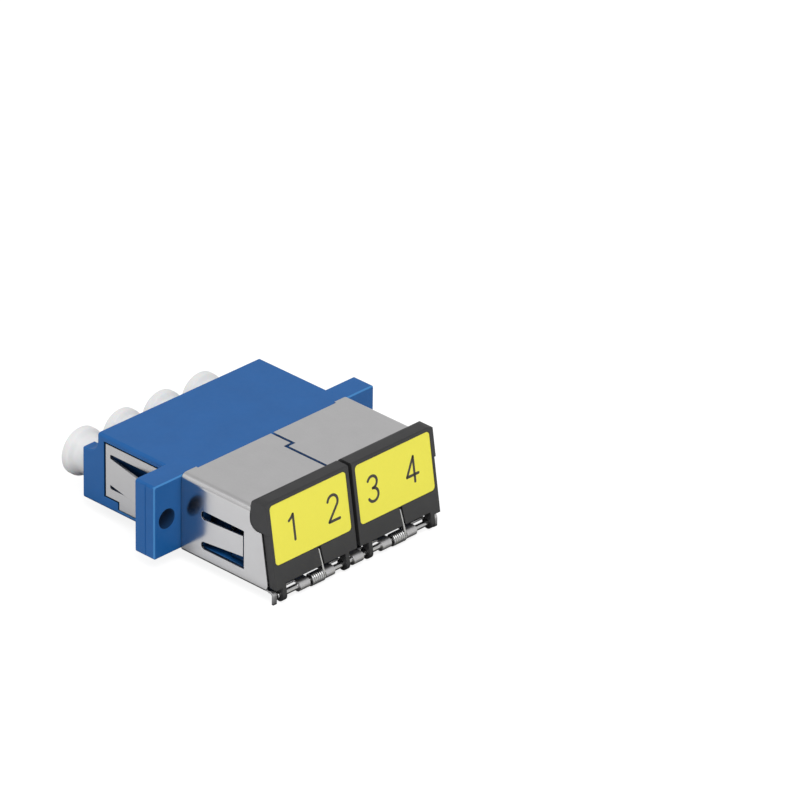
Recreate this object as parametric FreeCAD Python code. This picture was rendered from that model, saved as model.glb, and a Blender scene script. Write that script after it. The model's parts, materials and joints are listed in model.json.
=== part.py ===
import FreeCAD, Part
import math
import os

# Four-port LC fibre adapter with spring shutters on one end and dust plugs on the other.
# Millimetres. X runs along the flange, Y is the fibre axis, Z is up.
# The origin is midway between the two screw holes, on the joint between the housing halves.
# The shutters face -Y and the dust plugs face +Y.

# Flange
FLANGE_EAR = 4.5
FLANGE_SHUTTER_SIDE = 1.4
FLANGE_PLUG_SIDE = 1.7
FLANGE_CORNER_R = 0.35
FLANGE_FACE_CHAMFER = 0.15
JOINT_GROOVE = 0.1
HOLE_FROM_BODY = 2.55
HOLE_DIAMETER = 2.4

# Body
BODY_SIDE_WALL = 1.125
BODY_EDGE_R = 0.4
PLUG_ROOF_LENGTH = 10.6
SHUTTER_ROOF_LENGTH = 9.9
NOSE_REACH = 2.3
NOSE_STEP = 2.7
NOSE_ARC_R = 1.7
ROOF_FRONT_CHAMFER = 0.12

# Ports
PORT_COUNT = 4
PORT_PITCH = 6.25
PORT_WIDTH = 4.6
PORT_HEIGHT = 4.6
PORT_FLOOR = 0.95
LATCH_HEADROOM = 3.65
MID_WALL_HALF = 1.1
LATCH_GAP_WIDTH = 3.35
LATCH_GAP_ROOF = 1.4
LATCH_NOTCH_WIDTH = 2.6
ROOF_THICKNESS = 0.6
CATCH_DEPTH = 3.2
CATCH_LENGTH = 5.2
CATCH_ROOF = 0.9

# Alignment sleeves and the tubes that hold them
SLEEVE_LENGTH = 11.4
SLEEVE_DIAMETER = 1.62
SLEEVE_BORE = 1.25
SLEEVE_SLIT = 0.2
SLEEVE_CLEARANCE = 0.05
HOLDER_DIAMETER = 2.9
HOLDER_LIP = 0.45
HOLDER_LIP_BORE = 1.45

# Panel clip
CLIP_SHEET = 0.3
CLIP_CLEARANCE = 0.03
CLIP_EDGE_GAP = 0.1
CLIP_START = 0.35
CLIP_END_MARGIN = 1.3
CLIP_TOP_MARGIN = 0.95
CLIP_BOTTOM_MARGIN = 1.65
CLIP_STRAP_START = 3.05
CLIP_STRAP_WIDTH = 4.1
CLIP_BEND_R = 0.65
CLIP_FRAME = 0.7
CLIP_FRAME_TOP = 1.1
CLIP_FRAME_BOTTOM = 1.14
CLIP_TONGUE_HEIGHT = 3.35
CLIP_TONGUE_SHORT = 1.0
CLIP_TONGUE_LIFT = 1.4
CLIP_TONGUE_CORNER_R = 0.6
CLIP_SLOT_R = 0.2

# Shutter cage, one folded sheet with its seam on top
CAGE_SHEET = 0.25
CAGE_SIDE_GAP = 0.12
CAGE_TOP_GAP = 0.02
CAGE_BEND_R = 0.45
CAGE_FLANGE_GAP = 0.05
CAGE_CORNER_R = 1.0
CAGE_REAR_TAB = 2.3
CAGE_REAR_STEP = 0.3
SEAM_GAP = 0.4
SEAM_NEAR_X = 0.7
SEAM_FAR_X = -0.4
SEAM_JOG = 3.65
CAGE_APRON_EDGE = 0.42
CAGE_APRON_SLOT = 0.87
WINDOW_START = 3.2
WINDOW_BEHIND_PIN = 4.3
WINDOW_HEIGHT = 4.5
WINDOW_MIDDLE_Z = -0.95
CATCH_TONGUE_HEIGHT = 2.8
CATCH_TONGUE_TAPER = 0.12
CATCH_TONGUE_SHORT = 0.75
CATCH_TONGUE_DIP = 0.6
POCKET_CLEARANCE = 0.3
POCKET_LEDGE_LENGTH = 3.0
POCKET_LEDGE_HEIGHT = 1.7

# Hinge
PIN_DIAMETER = 0.7
PIN_CLEARANCE = 0.04
KNUCKLE_CLEARANCE = 0.03
KNUCKLE_END_ANGLE = 300
HINGE_SIDE_GAP = 0.1
PIN_AHEAD_OF_NOSE = 2.0
END_TAB_WIDTH = 0.55
END_TAB_GAP = 0.4
END_TAB_BEND_R = 0.55
END_TAB_DROP = 1.0
OUTER_LUG_WIDTH = 0.6
OUTER_BARE_PIN = 2.2
OUTER_KNUCKLE_WIDTH = 1.55
INNER_KNUCKLE_WIDTH = 1.4
INNER_LUG_WIDTH = 0.55
INNER_LUG_GAP = 0.8
MIDDLE_KNUCKLE_WIDTH = 1.5
LUG_WALL = 0.36

# Shutter flaps
FLAP_LEAN = 9.2
FLAP_THICKNESS = 1.05
FLAP_SPLIT = 0.27
FLAP_SIDE_INSET = 0.22
FLAP_CAGE_GAP = 0.08
FLAP_BOTTOM_ABOVE_PIN = 1.5
FLAP_CORNER_ABOVE_PIN = 1.05
LIP_HEIGHT = 1.12
LIP_REACH = 1.27
LIP_FRONT_R = 0.25
LIP_REAR_R = 0.7
LIP_BEVEL_WIDTH = 0.9
LIP_BEVEL_DROP = 0.25
EAR_WIDTH = 0.9
EAR_REACH = 1.37
EAR_ABOVE_NOSE = 0.45
EAR_CORNER_R = 1.1
EAR_GAP = 0.1

# Labels
LABEL_CORNER_R = 0.5
LABEL_THICKNESS = 0.08
LABEL_RECESS = 0.12
LABEL_MARGIN = 0.03
LABEL_INSET = 0.48
LABEL_OUTER_INSET = 0.4
LABEL_BELOW_LIP_TOP = 0.47
LABEL_BOTTOM_ABOVE_PIN = 3.84

# Torsion springs
WIRE_DIAMETER = 0.26
COIL_CLEARANCE = 0.03
COIL_TURNS = 7
COIL_PITCH = 0.29
COIL_STEPS = 10
WIRE_FLATS = 6
LEG_END_BELOW_LABEL = 0.2
LEG_SIDE_LEAN = 7
LEG_GROOVE_GAP = 0.05
LEG_GROOVE_SIDE_GAP = 0.08
REST_LEG_REACH = 2.4

# Dust plugs
PLUG_SIDE_GAP = 0.05
PLUG_NOSE_OVERLAP = 1.1
PLUG_NOSE_GAP = 0.15
PLUG_NOSE_DEPTH = 3.2
PLUG_NECK_FLARE = 0.2
PLUG_FLARE_LENGTH = 0.9
PLUG_HEAD_DIAMETER = 5.8
PLUG_HEAD_THICKNESS = 1.1
PLUG_HEAD_STANDOFF = 3.15
PLUG_FUNNEL_MOUTH = 4.5
PLUG_FUNNEL_THROAT = 2.3
PLUG_FUNNEL_DEPTH = 2.3
PLUG_HOLE_DEPTH = 4.2

# Sizes and places worked out from the ones above
BODY_WIDTH = PORT_PITCH * (PORT_COUNT - 1) + PORT_WIDTH + 2 * BODY_SIDE_WALL
BODY_HEIGHT = PORT_FLOOR + PORT_HEIGHT + LATCH_HEADROOM
FLANGE_WIDTH = BODY_WIDTH + 2 * FLANGE_EAR
HOLE_PITCH = BODY_WIDTH + 2 * HOLE_FROM_BODY
TOP_Z = BODY_HEIGHT / 2
BOTTOM_Z = -BODY_HEIGHT / 2
PORT_BOTTOM_Z = BOTTOM_Z + PORT_FLOOR
PORT_MIDDLE_Z = PORT_BOTTOM_Z + PORT_HEIGHT / 2
PORT_TOP_Z = PORT_BOTTOM_Z + PORT_HEIGHT
HOLDER_END = SLEEVE_LENGTH / 2 + SLEEVE_CLEARANCE + HOLDER_LIP
CAGE_HALF_WIDTH = BODY_WIDTH / 2 + CAGE_SIDE_GAP + CAGE_SHEET
CAGE_TOP_Z = TOP_Z + CAGE_TOP_GAP + CAGE_SHEET
PIN_RADIUS = PIN_DIAMETER / 2
ROLL_INNER_R = PIN_RADIUS + KNUCKLE_CLEARANCE
ROLL_OUTER_R = ROLL_INNER_R + CAGE_SHEET
LUG_RADIUS = PIN_RADIUS + PIN_CLEARANCE + LUG_WALL
PIN_Y = -FLANGE_SHUTTER_SIDE - SHUTTER_ROOF_LENGTH - NOSE_REACH - PIN_AHEAD_OF_NOSE
PIN_Z = -CAGE_TOP_Z - ROLL_INNER_R
LEAN = math.radians(FLAP_LEAN)
FLAP_OUTER_X = CAGE_HALF_WIDTH - FLAP_SIDE_INSET
PLUG_FRONT_Y = FLANGE_PLUG_SIDE + PLUG_ROOF_LENGTH + NOSE_REACH
# Overshoot that lets a cutting solid pass right through a face
PAST = 1.0
# Places nearer to each other than this are one place
SAME = 0.01


def vec(x, y, z):
    return FreeCAD.Vector(x, y, z)


def box(x0, x1, y0, y1, z0, z1):
    return Part.makeBox(x1 - x0, y1 - y0, z1 - z0, vec(x0, y0, z0))


def rod(radius, start, end):
    return Part.makeCylinder(radius, (end - start).Length, start, end - start)


def prism(edges, direction):
    """Solid swept from a closed outline along a straight direction."""
    return Part.Face(Part.Wire(edges)).extrude(direction)


def side_outline(corners):
    """Straight edges in the Y-Z plane at X = 0."""
    points = [vec(0, y, z) for y, z in corners]
    return Part.makePolygon(points + points[:1]).Edges


def side_prism(corners, x0, x1):
    """Straight-sided outline in Y and Z, swept from x0 to x1."""
    solid = prism(side_outline(corners), vec(x1 - x0, 0, 0))
    solid.translate(vec(x0, 0, 0))
    return solid


def edges_along(solid, direction):
    """Straight edges that run along a direction."""
    return [e for e in solid.Edges if e.tangentAt(e.FirstParameter).cross(direction).Length < SAME]


def rounded_block(half_width, z0, z1, y0, y1, radius):
    """Bar along Y with its four long edges rounded."""
    bar = box(-half_width, half_width, y0, y1, z0, z1)
    return bar.makeFillet(radius, edges_along(bar, vec(0, 1, 0)))


def round_edges(solid, radius, test):
    """Fillet the edges whose middle point passes the test."""
    def middle(edge):
        return edge.valueAt((edge.FirstParameter + edge.LastParameter) / 2)
    return solid.makeFillet(radius, [e for e in solid.Edges if test(middle(e))])


def mirror_x(solid):
    return solid.mirror(vec(0, 0, 0), vec(1, 0, 0))


def mirror_y(solid):
    return solid.mirror(vec(0, 0, 0), vec(0, 1, 0))


def port_centres():
    first = -PORT_PITCH * (PORT_COUNT - 1) / 2
    return [first + PORT_PITCH * i for i in range(PORT_COUNT)]


# Housing halves, drawn with the mouth at +Y

def half_profile(roof_length, flange_part):
    """Side view of a half: a roof that ends early, then a hollow curve down to the longer nose."""
    roof_y = flange_part + roof_length
    nose_y = roof_y + NOSE_REACH
    nose_z = TOP_Z - NOSE_STEP
    arc_top = vec(0, roof_y, nose_z + NOSE_ARC_R)
    arc_end = vec(0, roof_y + NOSE_ARC_R, nose_z)
    slant = NOSE_ARC_R * (1 - math.sqrt(0.5))
    arc_middle = vec(0, roof_y + slant, nose_z + slant)
    corners = [vec(0, roof_y, TOP_Z), vec(0, 0, TOP_Z), vec(0, 0, BOTTOM_Z),
               vec(0, nose_y, BOTTOM_Z), vec(0, nose_y, nose_z), arc_end]
    lines = [Part.LineSegment(a, b).toShape() for a, b in zip(corners, corners[1:])]
    arc = Part.Arc(arc_end, arc_middle, arc_top).toShape()
    drop = Part.LineSegment(arc_top, corners[0]).toShape()
    return lines + [arc, drop]


def half_body(roof_length, flange_part):
    length = flange_part + roof_length + NOSE_REACH
    bar = rounded_block(BODY_WIDTH / 2, BOTTOM_Z, TOP_Z, 0, length, BODY_EDGE_R)
    profile = prism(half_profile(roof_length, flange_part), vec(BODY_WIDTH, 0, 0))
    profile.translate(vec(-BODY_WIDTH / 2, 0, 0))
    body = bar.common(profile)
    roof_y, rounding = flange_part + roof_length, TOP_Z - BODY_EDGE_R - SAME
    roof_front = [e for e in body.Edges
                  if all(abs(v.Point.y - roof_y) < SAME and v.Point.z > rounding for v in e.Vertexes)]
    body = body.makeChamfer(ROOF_FRONT_CHAMFER, roof_front)
    return body.fuse(flange_plate(flange_part))


def flange_plate(thickness):
    """Plate with rounded corners, a fine chamfer round its outer face and half a groove in each end."""
    plate = rounded_block(FLANGE_WIDTH / 2, BOTTOM_Z, TOP_Z, 0, thickness, FLANGE_CORNER_R)
    outline = [e for e in plate.Edges if all(abs(v.Point.y - thickness) < SAME for v in e.Vertexes)]
    plate = plate.makeChamfer(FLANGE_FACE_CHAMFER, outline)
    groove = joint_groove()
    return plate.cut([groove, mirror_x(groove)])


def joint_groove():
    """Slant cut down the flange's +X end, on the joint between the halves."""
    end = FLANGE_WIDTH / 2
    corners = [vec(end - JOINT_GROOVE, 0, BOTTOM_Z), vec(end, JOINT_GROOVE, BOTTOM_Z), vec(end, 0, BOTTOM_Z)]
    return prism(Part.makePolygon(corners + corners[:1]).Edges, vec(0, 0, BODY_HEIGHT))


def port_cavity(x, mouth_y, roof_y):
    """Square plug space with a latch channel over it and a wider catch room behind the roof."""
    end = mouth_y + PAST
    square = box(x - PORT_WIDTH / 2, x + PORT_WIDTH / 2, MID_WALL_HALF, end, PORT_BOTTOM_Z, PORT_TOP_Z)
    channel = box(x - LATCH_GAP_WIDTH / 2, x + LATCH_GAP_WIDTH / 2, MID_WALL_HALF, end,
                  PORT_MIDDLE_Z, TOP_Z - LATCH_GAP_ROOF)
    notch = box(x - LATCH_NOTCH_WIDTH / 2, x + LATCH_NOTCH_WIDTH / 2, MID_WALL_HALF, end,
                PORT_MIDDLE_Z, TOP_Z - ROOF_THICKNESS)
    catch_y = roof_y - CATCH_DEPTH
    catch = box(x - PORT_WIDTH / 2, x + PORT_WIDTH / 2, catch_y - CATCH_LENGTH, catch_y,
                PORT_MIDDLE_Z, TOP_Z - CATCH_ROOF)
    return square.fuse([channel, notch, catch])


def sleeve_holder(x):
    return rod(HOLDER_DIAMETER / 2, vec(x, 0, PORT_MIDDLE_Z), vec(x, HOLDER_END, PORT_MIDDLE_Z))


def sleeve_bore(x):
    inner_end = HOLDER_END - HOLDER_LIP
    radius = SLEEVE_DIAMETER / 2 + SLEEVE_CLEARANCE
    bore = rod(radius, vec(x, -PAST, PORT_MIDDLE_Z), vec(x, inner_end, PORT_MIDDLE_Z))
    mouth = rod(HOLDER_LIP_BORE / 2, vec(x, 0, PORT_MIDDLE_Z), vec(x, HOLDER_END + PAST, PORT_MIDDLE_Z))
    return bore.fuse(mouth)


def screw_holes(flange_part):
    return [rod(HOLE_DIAMETER / 2, vec(x, -PAST, 0), vec(x, flange_part + PAST, 0))
            for x in (-HOLE_PITCH / 2, HOLE_PITCH / 2)]


def housing_half(roof_length, flange_part):
    roof_y = flange_part + roof_length
    mouth_y = roof_y + NOSE_REACH
    body = half_body(roof_length, flange_part)
    body = body.cut([port_cavity(x, mouth_y, roof_y) for x in port_centres()])
    body = body.fuse([sleeve_holder(x) for x in port_centres()])
    cuts = [sleeve_bore(x) for x in port_centres()] + screw_holes(flange_part)
    return body.cut(cuts).removeSplitter()


# Panel clip and the recess that it lies in

def clip_span():
    start = FLANGE_PLUG_SIDE + CLIP_START
    strap = FLANGE_PLUG_SIDE + CLIP_STRAP_START
    end = FLANGE_PLUG_SIDE + PLUG_ROOF_LENGTH - CLIP_END_MARGIN
    return start, end, strap, strap + CLIP_STRAP_WIDTH


def clip_wrap(grow, edge_gap):
    """Sheet that covers both sides and passes under the body.

    For its recess the sheet is thicker by grow on each face and larger by edge_gap round its outline.
    """
    start, end, strap_start, strap_end = clip_span()
    outer = BODY_WIDTH / 2 - CLIP_CLEARANCE + grow
    sheet = CLIP_SHEET + grow * 2
    low = BOTTOM_Z + CLIP_CLEARANCE - grow
    top = TOP_Z - CLIP_TOP_MARGIN + edge_gap
    side_low = BOTTOM_Z + CLIP_BOTTOM_MARGIN - edge_gap
    high = top + PAST
    shell = rounded_block(outer, low, high, start - edge_gap, end + edge_gap, CLIP_BEND_R)
    core = rounded_block(outer - sheet, low + sheet, high + PAST, start - PAST, end + PAST,
                         CLIP_BEND_R - CLIP_SHEET)
    wide = outer + PAST
    above = box(-wide, wide, start - PAST, end + PAST, top, high + PAST)
    near = box(-wide, wide, start - PAST, strap_start - edge_gap, low - PAST, side_low)
    far = box(-wide, wide, strap_end + edge_gap, end + PAST, low - PAST, side_low)
    return shell.cut([core, above, near, far])


def clip_heights():
    """Middle height and half heights of the window and of its tongue."""
    top = TOP_Z - CLIP_TOP_MARGIN - CLIP_FRAME_TOP
    low = BOTTOM_Z + CLIP_BOTTOM_MARGIN + CLIP_FRAME_BOTTOM
    return (top + low) / 2, (top - low) / 2, CLIP_TONGUE_HEIGHT / 2


def clip_window():
    start, end, _, _ = clip_span()
    middle, half, _ = clip_heights()
    wide = BODY_WIDTH / 2 + PAST
    window = box(-wide, wide, start + CLIP_FRAME, end - CLIP_FRAME, middle - half, middle + half)
    return round_edges(window, CLIP_SLOT_R, lambda p: abs(p.x) < PAST)


def clip_tongue():
    """Spring tongue on the +X side, rooted at the far end and lifted towards the flange."""
    start, end, _, _ = clip_span()
    middle, _, half = clip_heights()
    root_y = end - CLIP_FRAME
    tip_y = start + CLIP_FRAME + CLIP_TONGUE_SHORT
    face = BODY_WIDTH / 2 - CLIP_CLEARANCE
    outline = [vec(face, root_y + CLIP_SLOT_R, 0), vec(face, root_y, 0),
               vec(face + CLIP_TONGUE_LIFT, tip_y, 0), vec(face + CLIP_TONGUE_LIFT - CLIP_SHEET, tip_y, 0),
               vec(face - CLIP_SHEET, root_y, 0), vec(face - CLIP_SHEET, root_y + CLIP_SLOT_R, 0)]
    tongue = prism(Part.makePolygon(outline + outline[:1]).Edges, vec(0, 0, 2 * half))
    tongue.translate(vec(0, 0, middle - half))
    tip_corner = CLIP_SHEET / 2
    return round_edges(tongue, CLIP_TONGUE_CORNER_R,
                       lambda p: abs(p.y - tip_y) < tip_corner and abs(p.z - middle) > half - tip_corner)


def panel_clip():
    tongue = clip_tongue()
    return clip_wrap(0, 0).cut(clip_window()).fuse([tongue, mirror_x(tongue)]).removeSplitter()


def plug_side_housing():
    half = housing_half(PLUG_ROOF_LENGTH, FLANGE_PLUG_SIDE)
    return half.cut(clip_wrap(CLIP_CLEARANCE, CLIP_EDGE_GAP)).removeSplitter()


# Shutter-side half with the windows that the cage's catch tongues drop into

def window_span():
    return PIN_Y + WINDOW_BEHIND_PIN, -FLANGE_SHUTTER_SIDE - WINDOW_START


def catch_pocket():
    """Opening through the +X wall, under the cage's window, with a ledge low down at its front end."""
    far, near = window_span()
    low, high = WINDOW_MIDDLE_Z - WINDOW_HEIGHT / 2, WINDOW_MIDDLE_Z + WINDOW_HEIGHT / 2
    face = BODY_WIDTH / 2
    outer, inner = face + PAST, face - BODY_SIDE_WALL - SAME
    floor = face + CAGE_SIDE_GAP - CATCH_TONGUE_DIP - POCKET_CLEARANCE
    front, ledge_end = far + CATCH_TONGUE_SHORT / 2, far + POCKET_LEDGE_LENGTH
    shallow = box(floor, outer, front, near, low, high)
    rear = box(inner, outer, ledge_end, near, low, high)
    above = box(inner, outer, front, near, low + POCKET_LEDGE_HEIGHT, high)
    return shallow.fuse([rear, above])


def shutter_side_housing():
    half = mirror_y(housing_half(SHUTTER_ROOF_LENGTH, FLANGE_SHUTTER_SIDE))
    pocket = catch_pocket()
    return half.cut([pocket, mirror_x(pocket)]).removeSplitter()


def alignment_sleeve(x):
    """Split ceramic tube, slit along its top."""
    half = SLEEVE_LENGTH / 2
    start, end = vec(x, -half, PORT_MIDDLE_Z), vec(x, half, PORT_MIDDLE_Z)
    tube = rod(SLEEVE_DIAMETER / 2, start, end).cut(rod(SLEEVE_BORE / 2, start, end))
    slit = box(x - SLEEVE_SLIT / 2, x + SLEEVE_SLIT / 2, -half - PAST, half + PAST,
               PORT_MIDDLE_Z, PORT_MIDDLE_Z + SLEEVE_DIAMETER)
    return tube.cut(slit)


# Lines that lean with the closed flap

def face_y(z, depth):
    """Y of the plane that lies depth behind the flap's front face, at height z."""
    return PIN_Y + (depth - LUG_RADIUS) / math.cos(LEAN) + (z - PIN_Z) * math.tan(LEAN)


def on_flap_face(solid, z):
    """Turn a solid drawn flat (up = Y, outwards = Z) onto the flap's front face at height z."""
    solid.rotate(vec(0, 0, 0), vec(1, 0, 0), 90 - FLAP_LEAN)
    solid.translate(vec(0, face_y(z, 0), z))
    return solid


# Shutter cage

def cage_section(y0, y1):
    """Length of the cage's rectangular tube with bent corners."""
    outer = rounded_block(CAGE_HALF_WIDTH, -CAGE_TOP_Z, CAGE_TOP_Z, y0, y1, CAGE_BEND_R)
    inner = rounded_block(CAGE_HALF_WIDTH - CAGE_SHEET, CAGE_SHEET - CAGE_TOP_Z, CAGE_TOP_Z - CAGE_SHEET,
                          y0 - PAST, y1 + PAST, CAGE_BEND_R - CAGE_SHEET)
    return outer.cut(inner)


def cage_front_cutter():
    """Everything in front of the leaning edge, which ends in a round corner at the bottom."""
    edge_depth = FLAP_THICKNESS + FLAP_CAGE_GAP
    high = CAGE_TOP_Z + PAST
    low = -CAGE_TOP_Z - PAST
    front = PIN_Y - 3 * PAST
    corner_y = face_y(-CAGE_TOP_Z, edge_depth)
    cutter = side_prism([(front, high), (face_y(high, edge_depth), high),
                         (corner_y, -CAGE_TOP_Z), (corner_y + CAGE_CORNER_R * 2, -CAGE_TOP_Z),
                         (corner_y + CAGE_CORNER_R * 2, low), (front, low)],
                        -CAGE_HALF_WIDTH - PAST, CAGE_HALF_WIDTH + PAST)
    return round_edges(cutter, CAGE_CORNER_R,
                       lambda p: abs(p.y - corner_y) < CAGE_SHEET and abs(p.z + CAGE_TOP_Z) < CAGE_SHEET)


def cage_rear_step():
    """The middle of the top sheet stops a little short of the flange; its two corners reach it."""
    half = CAGE_HALF_WIDTH - CAGE_REAR_TAB
    rear = -FLANGE_SHUTTER_SIDE - CAGE_FLANGE_GAP
    low, high = CAGE_TOP_Z - CAGE_SHEET * 2, CAGE_TOP_Z + PAST
    return box(-half, half, rear - CAGE_REAR_STEP, rear + PAST, low, high)


def cage_seam():
    """Gap on top between the sheet's two ends, which shifts sideways part way along."""
    y1 = -FLANGE_SHUTTER_SIDE
    jog = y1 - SEAM_JOG
    half = SEAM_GAP / 2
    z0, z1 = CAGE_TOP_Z - CAGE_SHEET * 2, CAGE_TOP_Z + PAST
    near = box(SEAM_NEAR_X - half, SEAM_NEAR_X + half, jog - half, y1 + PAST, z0, z1)
    step = box(SEAM_FAR_X - half, SEAM_NEAR_X + half, jog - half, jog + half, z0, z1)
    far = box(SEAM_FAR_X - half, SEAM_FAR_X + half, PIN_Y, jog + half, z0, z1)
    return near.fuse([step, far])


def catch_window():
    """Window on the +X side; the slots beside the tongue end in half rounds."""
    far, near = window_span()
    half = WINDOW_HEIGHT / 2
    slot = (WINDOW_HEIGHT - CATCH_TONGUE_HEIGHT) / 2
    radius = slot / 2
    x0, x1 = CAGE_HALF_WIDTH - CAGE_SHEET * 2, CAGE_HALF_WIDTH + PAST
    opening = box(x0, x1, far, near - radius, WINDOW_MIDDLE_Z - half, WINDOW_MIDDLE_Z + half)
    ends = [rod(radius, vec(x0, near - radius, z), vec(x1, near - radius, z))
            for z in (WINDOW_MIDDLE_Z - half + radius, WINDOW_MIDDLE_Z + half - radius)]
    return opening.fuse(ends)


def catch_tongue():
    """Tongue on the +X side that dips into the housing's pocket."""
    far, near = window_span()
    root_y = near - (WINDOW_HEIGHT - CATCH_TONGUE_HEIGHT) / 4
    tip_y = far + CATCH_TONGUE_SHORT
    outer, inner = CAGE_HALF_WIDTH, CAGE_HALF_WIDTH - CAGE_SHEET
    outline = [vec(outer, root_y, 0), vec(outer - CATCH_TONGUE_DIP, tip_y, 0),
               vec(inner - CATCH_TONGUE_DIP, tip_y, 0), vec(inner, root_y, 0)]
    half = CATCH_TONGUE_HEIGHT / 2
    tongue = prism(Part.makePolygon(outline + outline[:1]).Edges, vec(0, 0, 2 * half))
    tongue.translate(vec(0, 0, WINDOW_MIDDLE_Z - half))
    x0, x1 = inner - CATCH_TONGUE_DIP - PAST, outer + PAST
    tip_half = half - CATCH_TONGUE_TAPER
    sides = side_prism([(root_y, -half), (tip_y, -tip_half), (tip_y, tip_half), (root_y, half)], x0, x1)
    sides.translate(vec(0, 0, WINDOW_MIDDLE_Z))
    return tongue.common(sides)


def rolled_strip(x0, x1, strip_rear, centre, outer, end_angle, tail):
    """Strip of the bottom sheet, rolled down round a centre and straight on for its tail."""
    inner = outer - CAGE_SHEET
    end = math.radians(end_angle)
    straight = vec(0, -math.sin(end), math.cos(end)) * tail

    def point(radius, degrees):
        angle = math.radians(degrees)
        return centre + vec(0, math.cos(angle), math.sin(angle)) * radius

    def roll(radius):
        middle = (90 + end_angle) / 2
        return Part.Arc(point(radius, 90), point(radius, middle), point(radius, end_angle)).toShape()

    outside = [vec(0, strip_rear, centre.z + outer), point(outer, 90)]
    tip = [point(outer, end_angle), point(outer, end_angle) + straight,
           point(inner, end_angle) + straight, point(inner, end_angle)]
    inside = [point(inner, 90), vec(0, strip_rear, centre.z + inner)]
    if tail == 0:
        tip = [tip[0], tip[-1]]
    edges = [roll(outer), roll(inner)]
    for run in (outside, tip, inside, [inside[-1], outside[0]]):
        edges += [Part.LineSegment(a, b).toShape() for a, b in zip(run, run[1:])]
    solid = prism(Part.__sortEdges__(edges), vec(x1 - x0, 0, 0))
    solid.translate(vec(x0, 0, 0))
    return solid


def knuckle(x0, x1, strip_rear):
    """Strip carried over the pin and rolled round its front."""
    return rolled_strip(x0, x1, strip_rear, vec(0, PIN_Y, PIN_Z), ROLL_OUTER_R, KNUCKLE_END_ANGLE, 0)


def end_tab(x0, x1, strip_rear):
    """Outermost strip, bent straight down beside the end of the pin to keep it in."""
    centre = vec(0, PIN_Y + CAGE_APRON_EDGE, CAGE_SHEET - CAGE_TOP_Z - END_TAB_BEND_R)
    return rolled_strip(x0, x1, strip_rear, centre, END_TAB_BEND_R, 180, END_TAB_DROP)


def hinge_layout():
    """Spans along X of one side's hinge, from the outer end towards the middle."""
    gap = HINGE_SIDE_GAP
    end_outer = CAGE_HALF_WIDTH - 2 * gap
    end_inner = end_outer - END_TAB_WIDTH
    lug_outer = end_inner - END_TAB_GAP
    lug_inner = lug_outer - OUTER_LUG_WIDTH
    out_outer = lug_inner - OUTER_BARE_PIN
    out_inner = out_outer - OUTER_KNUCKLE_WIDTH
    coil_outer = out_inner - gap
    coil_inner = coil_outer - COIL_PITCH * COIL_TURNS - WIRE_DIAMETER
    in_outer = coil_inner - gap
    in_inner = in_outer - INNER_KNUCKLE_WIDTH
    middle = MIDDLE_KNUCKLE_WIDTH / 2
    return {"end": (end_inner, end_outer), "outer_lug": (lug_inner, lug_outer),
            "outer_knuckle": (out_inner, out_outer), "coil": (coil_inner, coil_outer),
            "inner_knuckle": (in_inner, in_outer),
            "inner_lug": (middle + INNER_LUG_GAP, middle + INNER_LUG_GAP + INNER_LUG_WIDTH),
            "middle": (-middle, middle)}


def cage_apron():
    """Flat of the bottom sheet that reaches forward under the flaps, with the knuckles and end tabs."""
    layout = hinge_layout()
    apron_edge = PIN_Y + CAGE_APRON_EDGE
    rear = face_y(-CAGE_TOP_Z, FLAP_THICKNESS) + 2 * CAGE_CORNER_R
    half = layout["end"][1]
    sheet = cage_section(apron_edge, rear).common(box(-half, half, apron_edge, rear, -CAGE_TOP_Z,
                                                      CAGE_SHEET - CAGE_TOP_Z))
    for name in ("outer_lug", "coil", "inner_lug"):
        low, high = layout[name]
        slot = box(low - HINGE_SIDE_GAP, high + HINGE_SIDE_GAP, PIN_Y, PIN_Y + CAGE_APRON_SLOT,
                   -CAGE_TOP_Z - PAST, CAGE_SHEET - CAGE_TOP_Z + PAST)
        sheet = sheet.cut([slot, mirror_x(slot)])
    strips = [knuckle(*layout["middle"], apron_edge + CAGE_SHEET)]
    for name, make in (("end", end_tab), ("outer_knuckle", knuckle), ("inner_knuckle", knuckle)):
        strip = make(*layout[name], apron_edge + CAGE_SHEET)
        strips += [strip, mirror_x(strip)]
    return [sheet] + strips


def shutter_cage():
    cuts = [cage_front_cutter(), cage_rear_step(), cage_seam()]
    tongue = catch_tongue()
    for solid in (catch_window(), ear_block(EAR_GAP)):
        cuts += [solid, mirror_x(solid)]
    sheet = cage_section(PIN_Y - PAST, -FLANGE_SHUTTER_SIDE - CAGE_FLANGE_GAP).cut(cuts)
    return sheet.fuse(cage_apron() + [tongue, mirror_x(tongue)]).removeSplitter()


def hinge_pin():
    end = hinge_layout()["end"][0] - HINGE_SIDE_GAP
    return rod(PIN_RADIUS, vec(-end, PIN_Y, PIN_Z), vec(end, PIN_Y, PIN_Z))


# Shutter flaps, drawn on the +X side

def flap_plate(x0, x1, z0, z1):
    return side_prism([(face_y(z0, 0), z0), (face_y(z1, 0), z1),
                       (face_y(z1, FLAP_THICKNESS), z1), (face_y(z0, FLAP_THICKNESS), z0)], x0, x1)


def lip_places():
    under = CAGE_TOP_Z + FLAP_CAGE_GAP
    rear = face_y(CAGE_TOP_Z, FLAP_THICKNESS) + LIP_REACH
    return under, under + LIP_HEIGHT, rear


def flap_lip():
    """Bar along the top that laps over the cage, with a well rounded rear edge."""
    under, top, rear = lip_places()
    bar = side_prism([(face_y(under, 0), under), (face_y(top, 0), top), (rear, top), (rear, under)],
                     FLAP_SPLIT, CAGE_HALF_WIDTH)
    bar = round_edges(bar, LIP_REAR_R, lambda p: abs(p.z - top) < SAME and abs(p.y - rear) < SAME)
    return round_edges(bar, LIP_FRONT_R,
                       lambda p: abs(p.z - top) < SAME and abs(p.y - face_y(top, 0)) < SAME)


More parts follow.
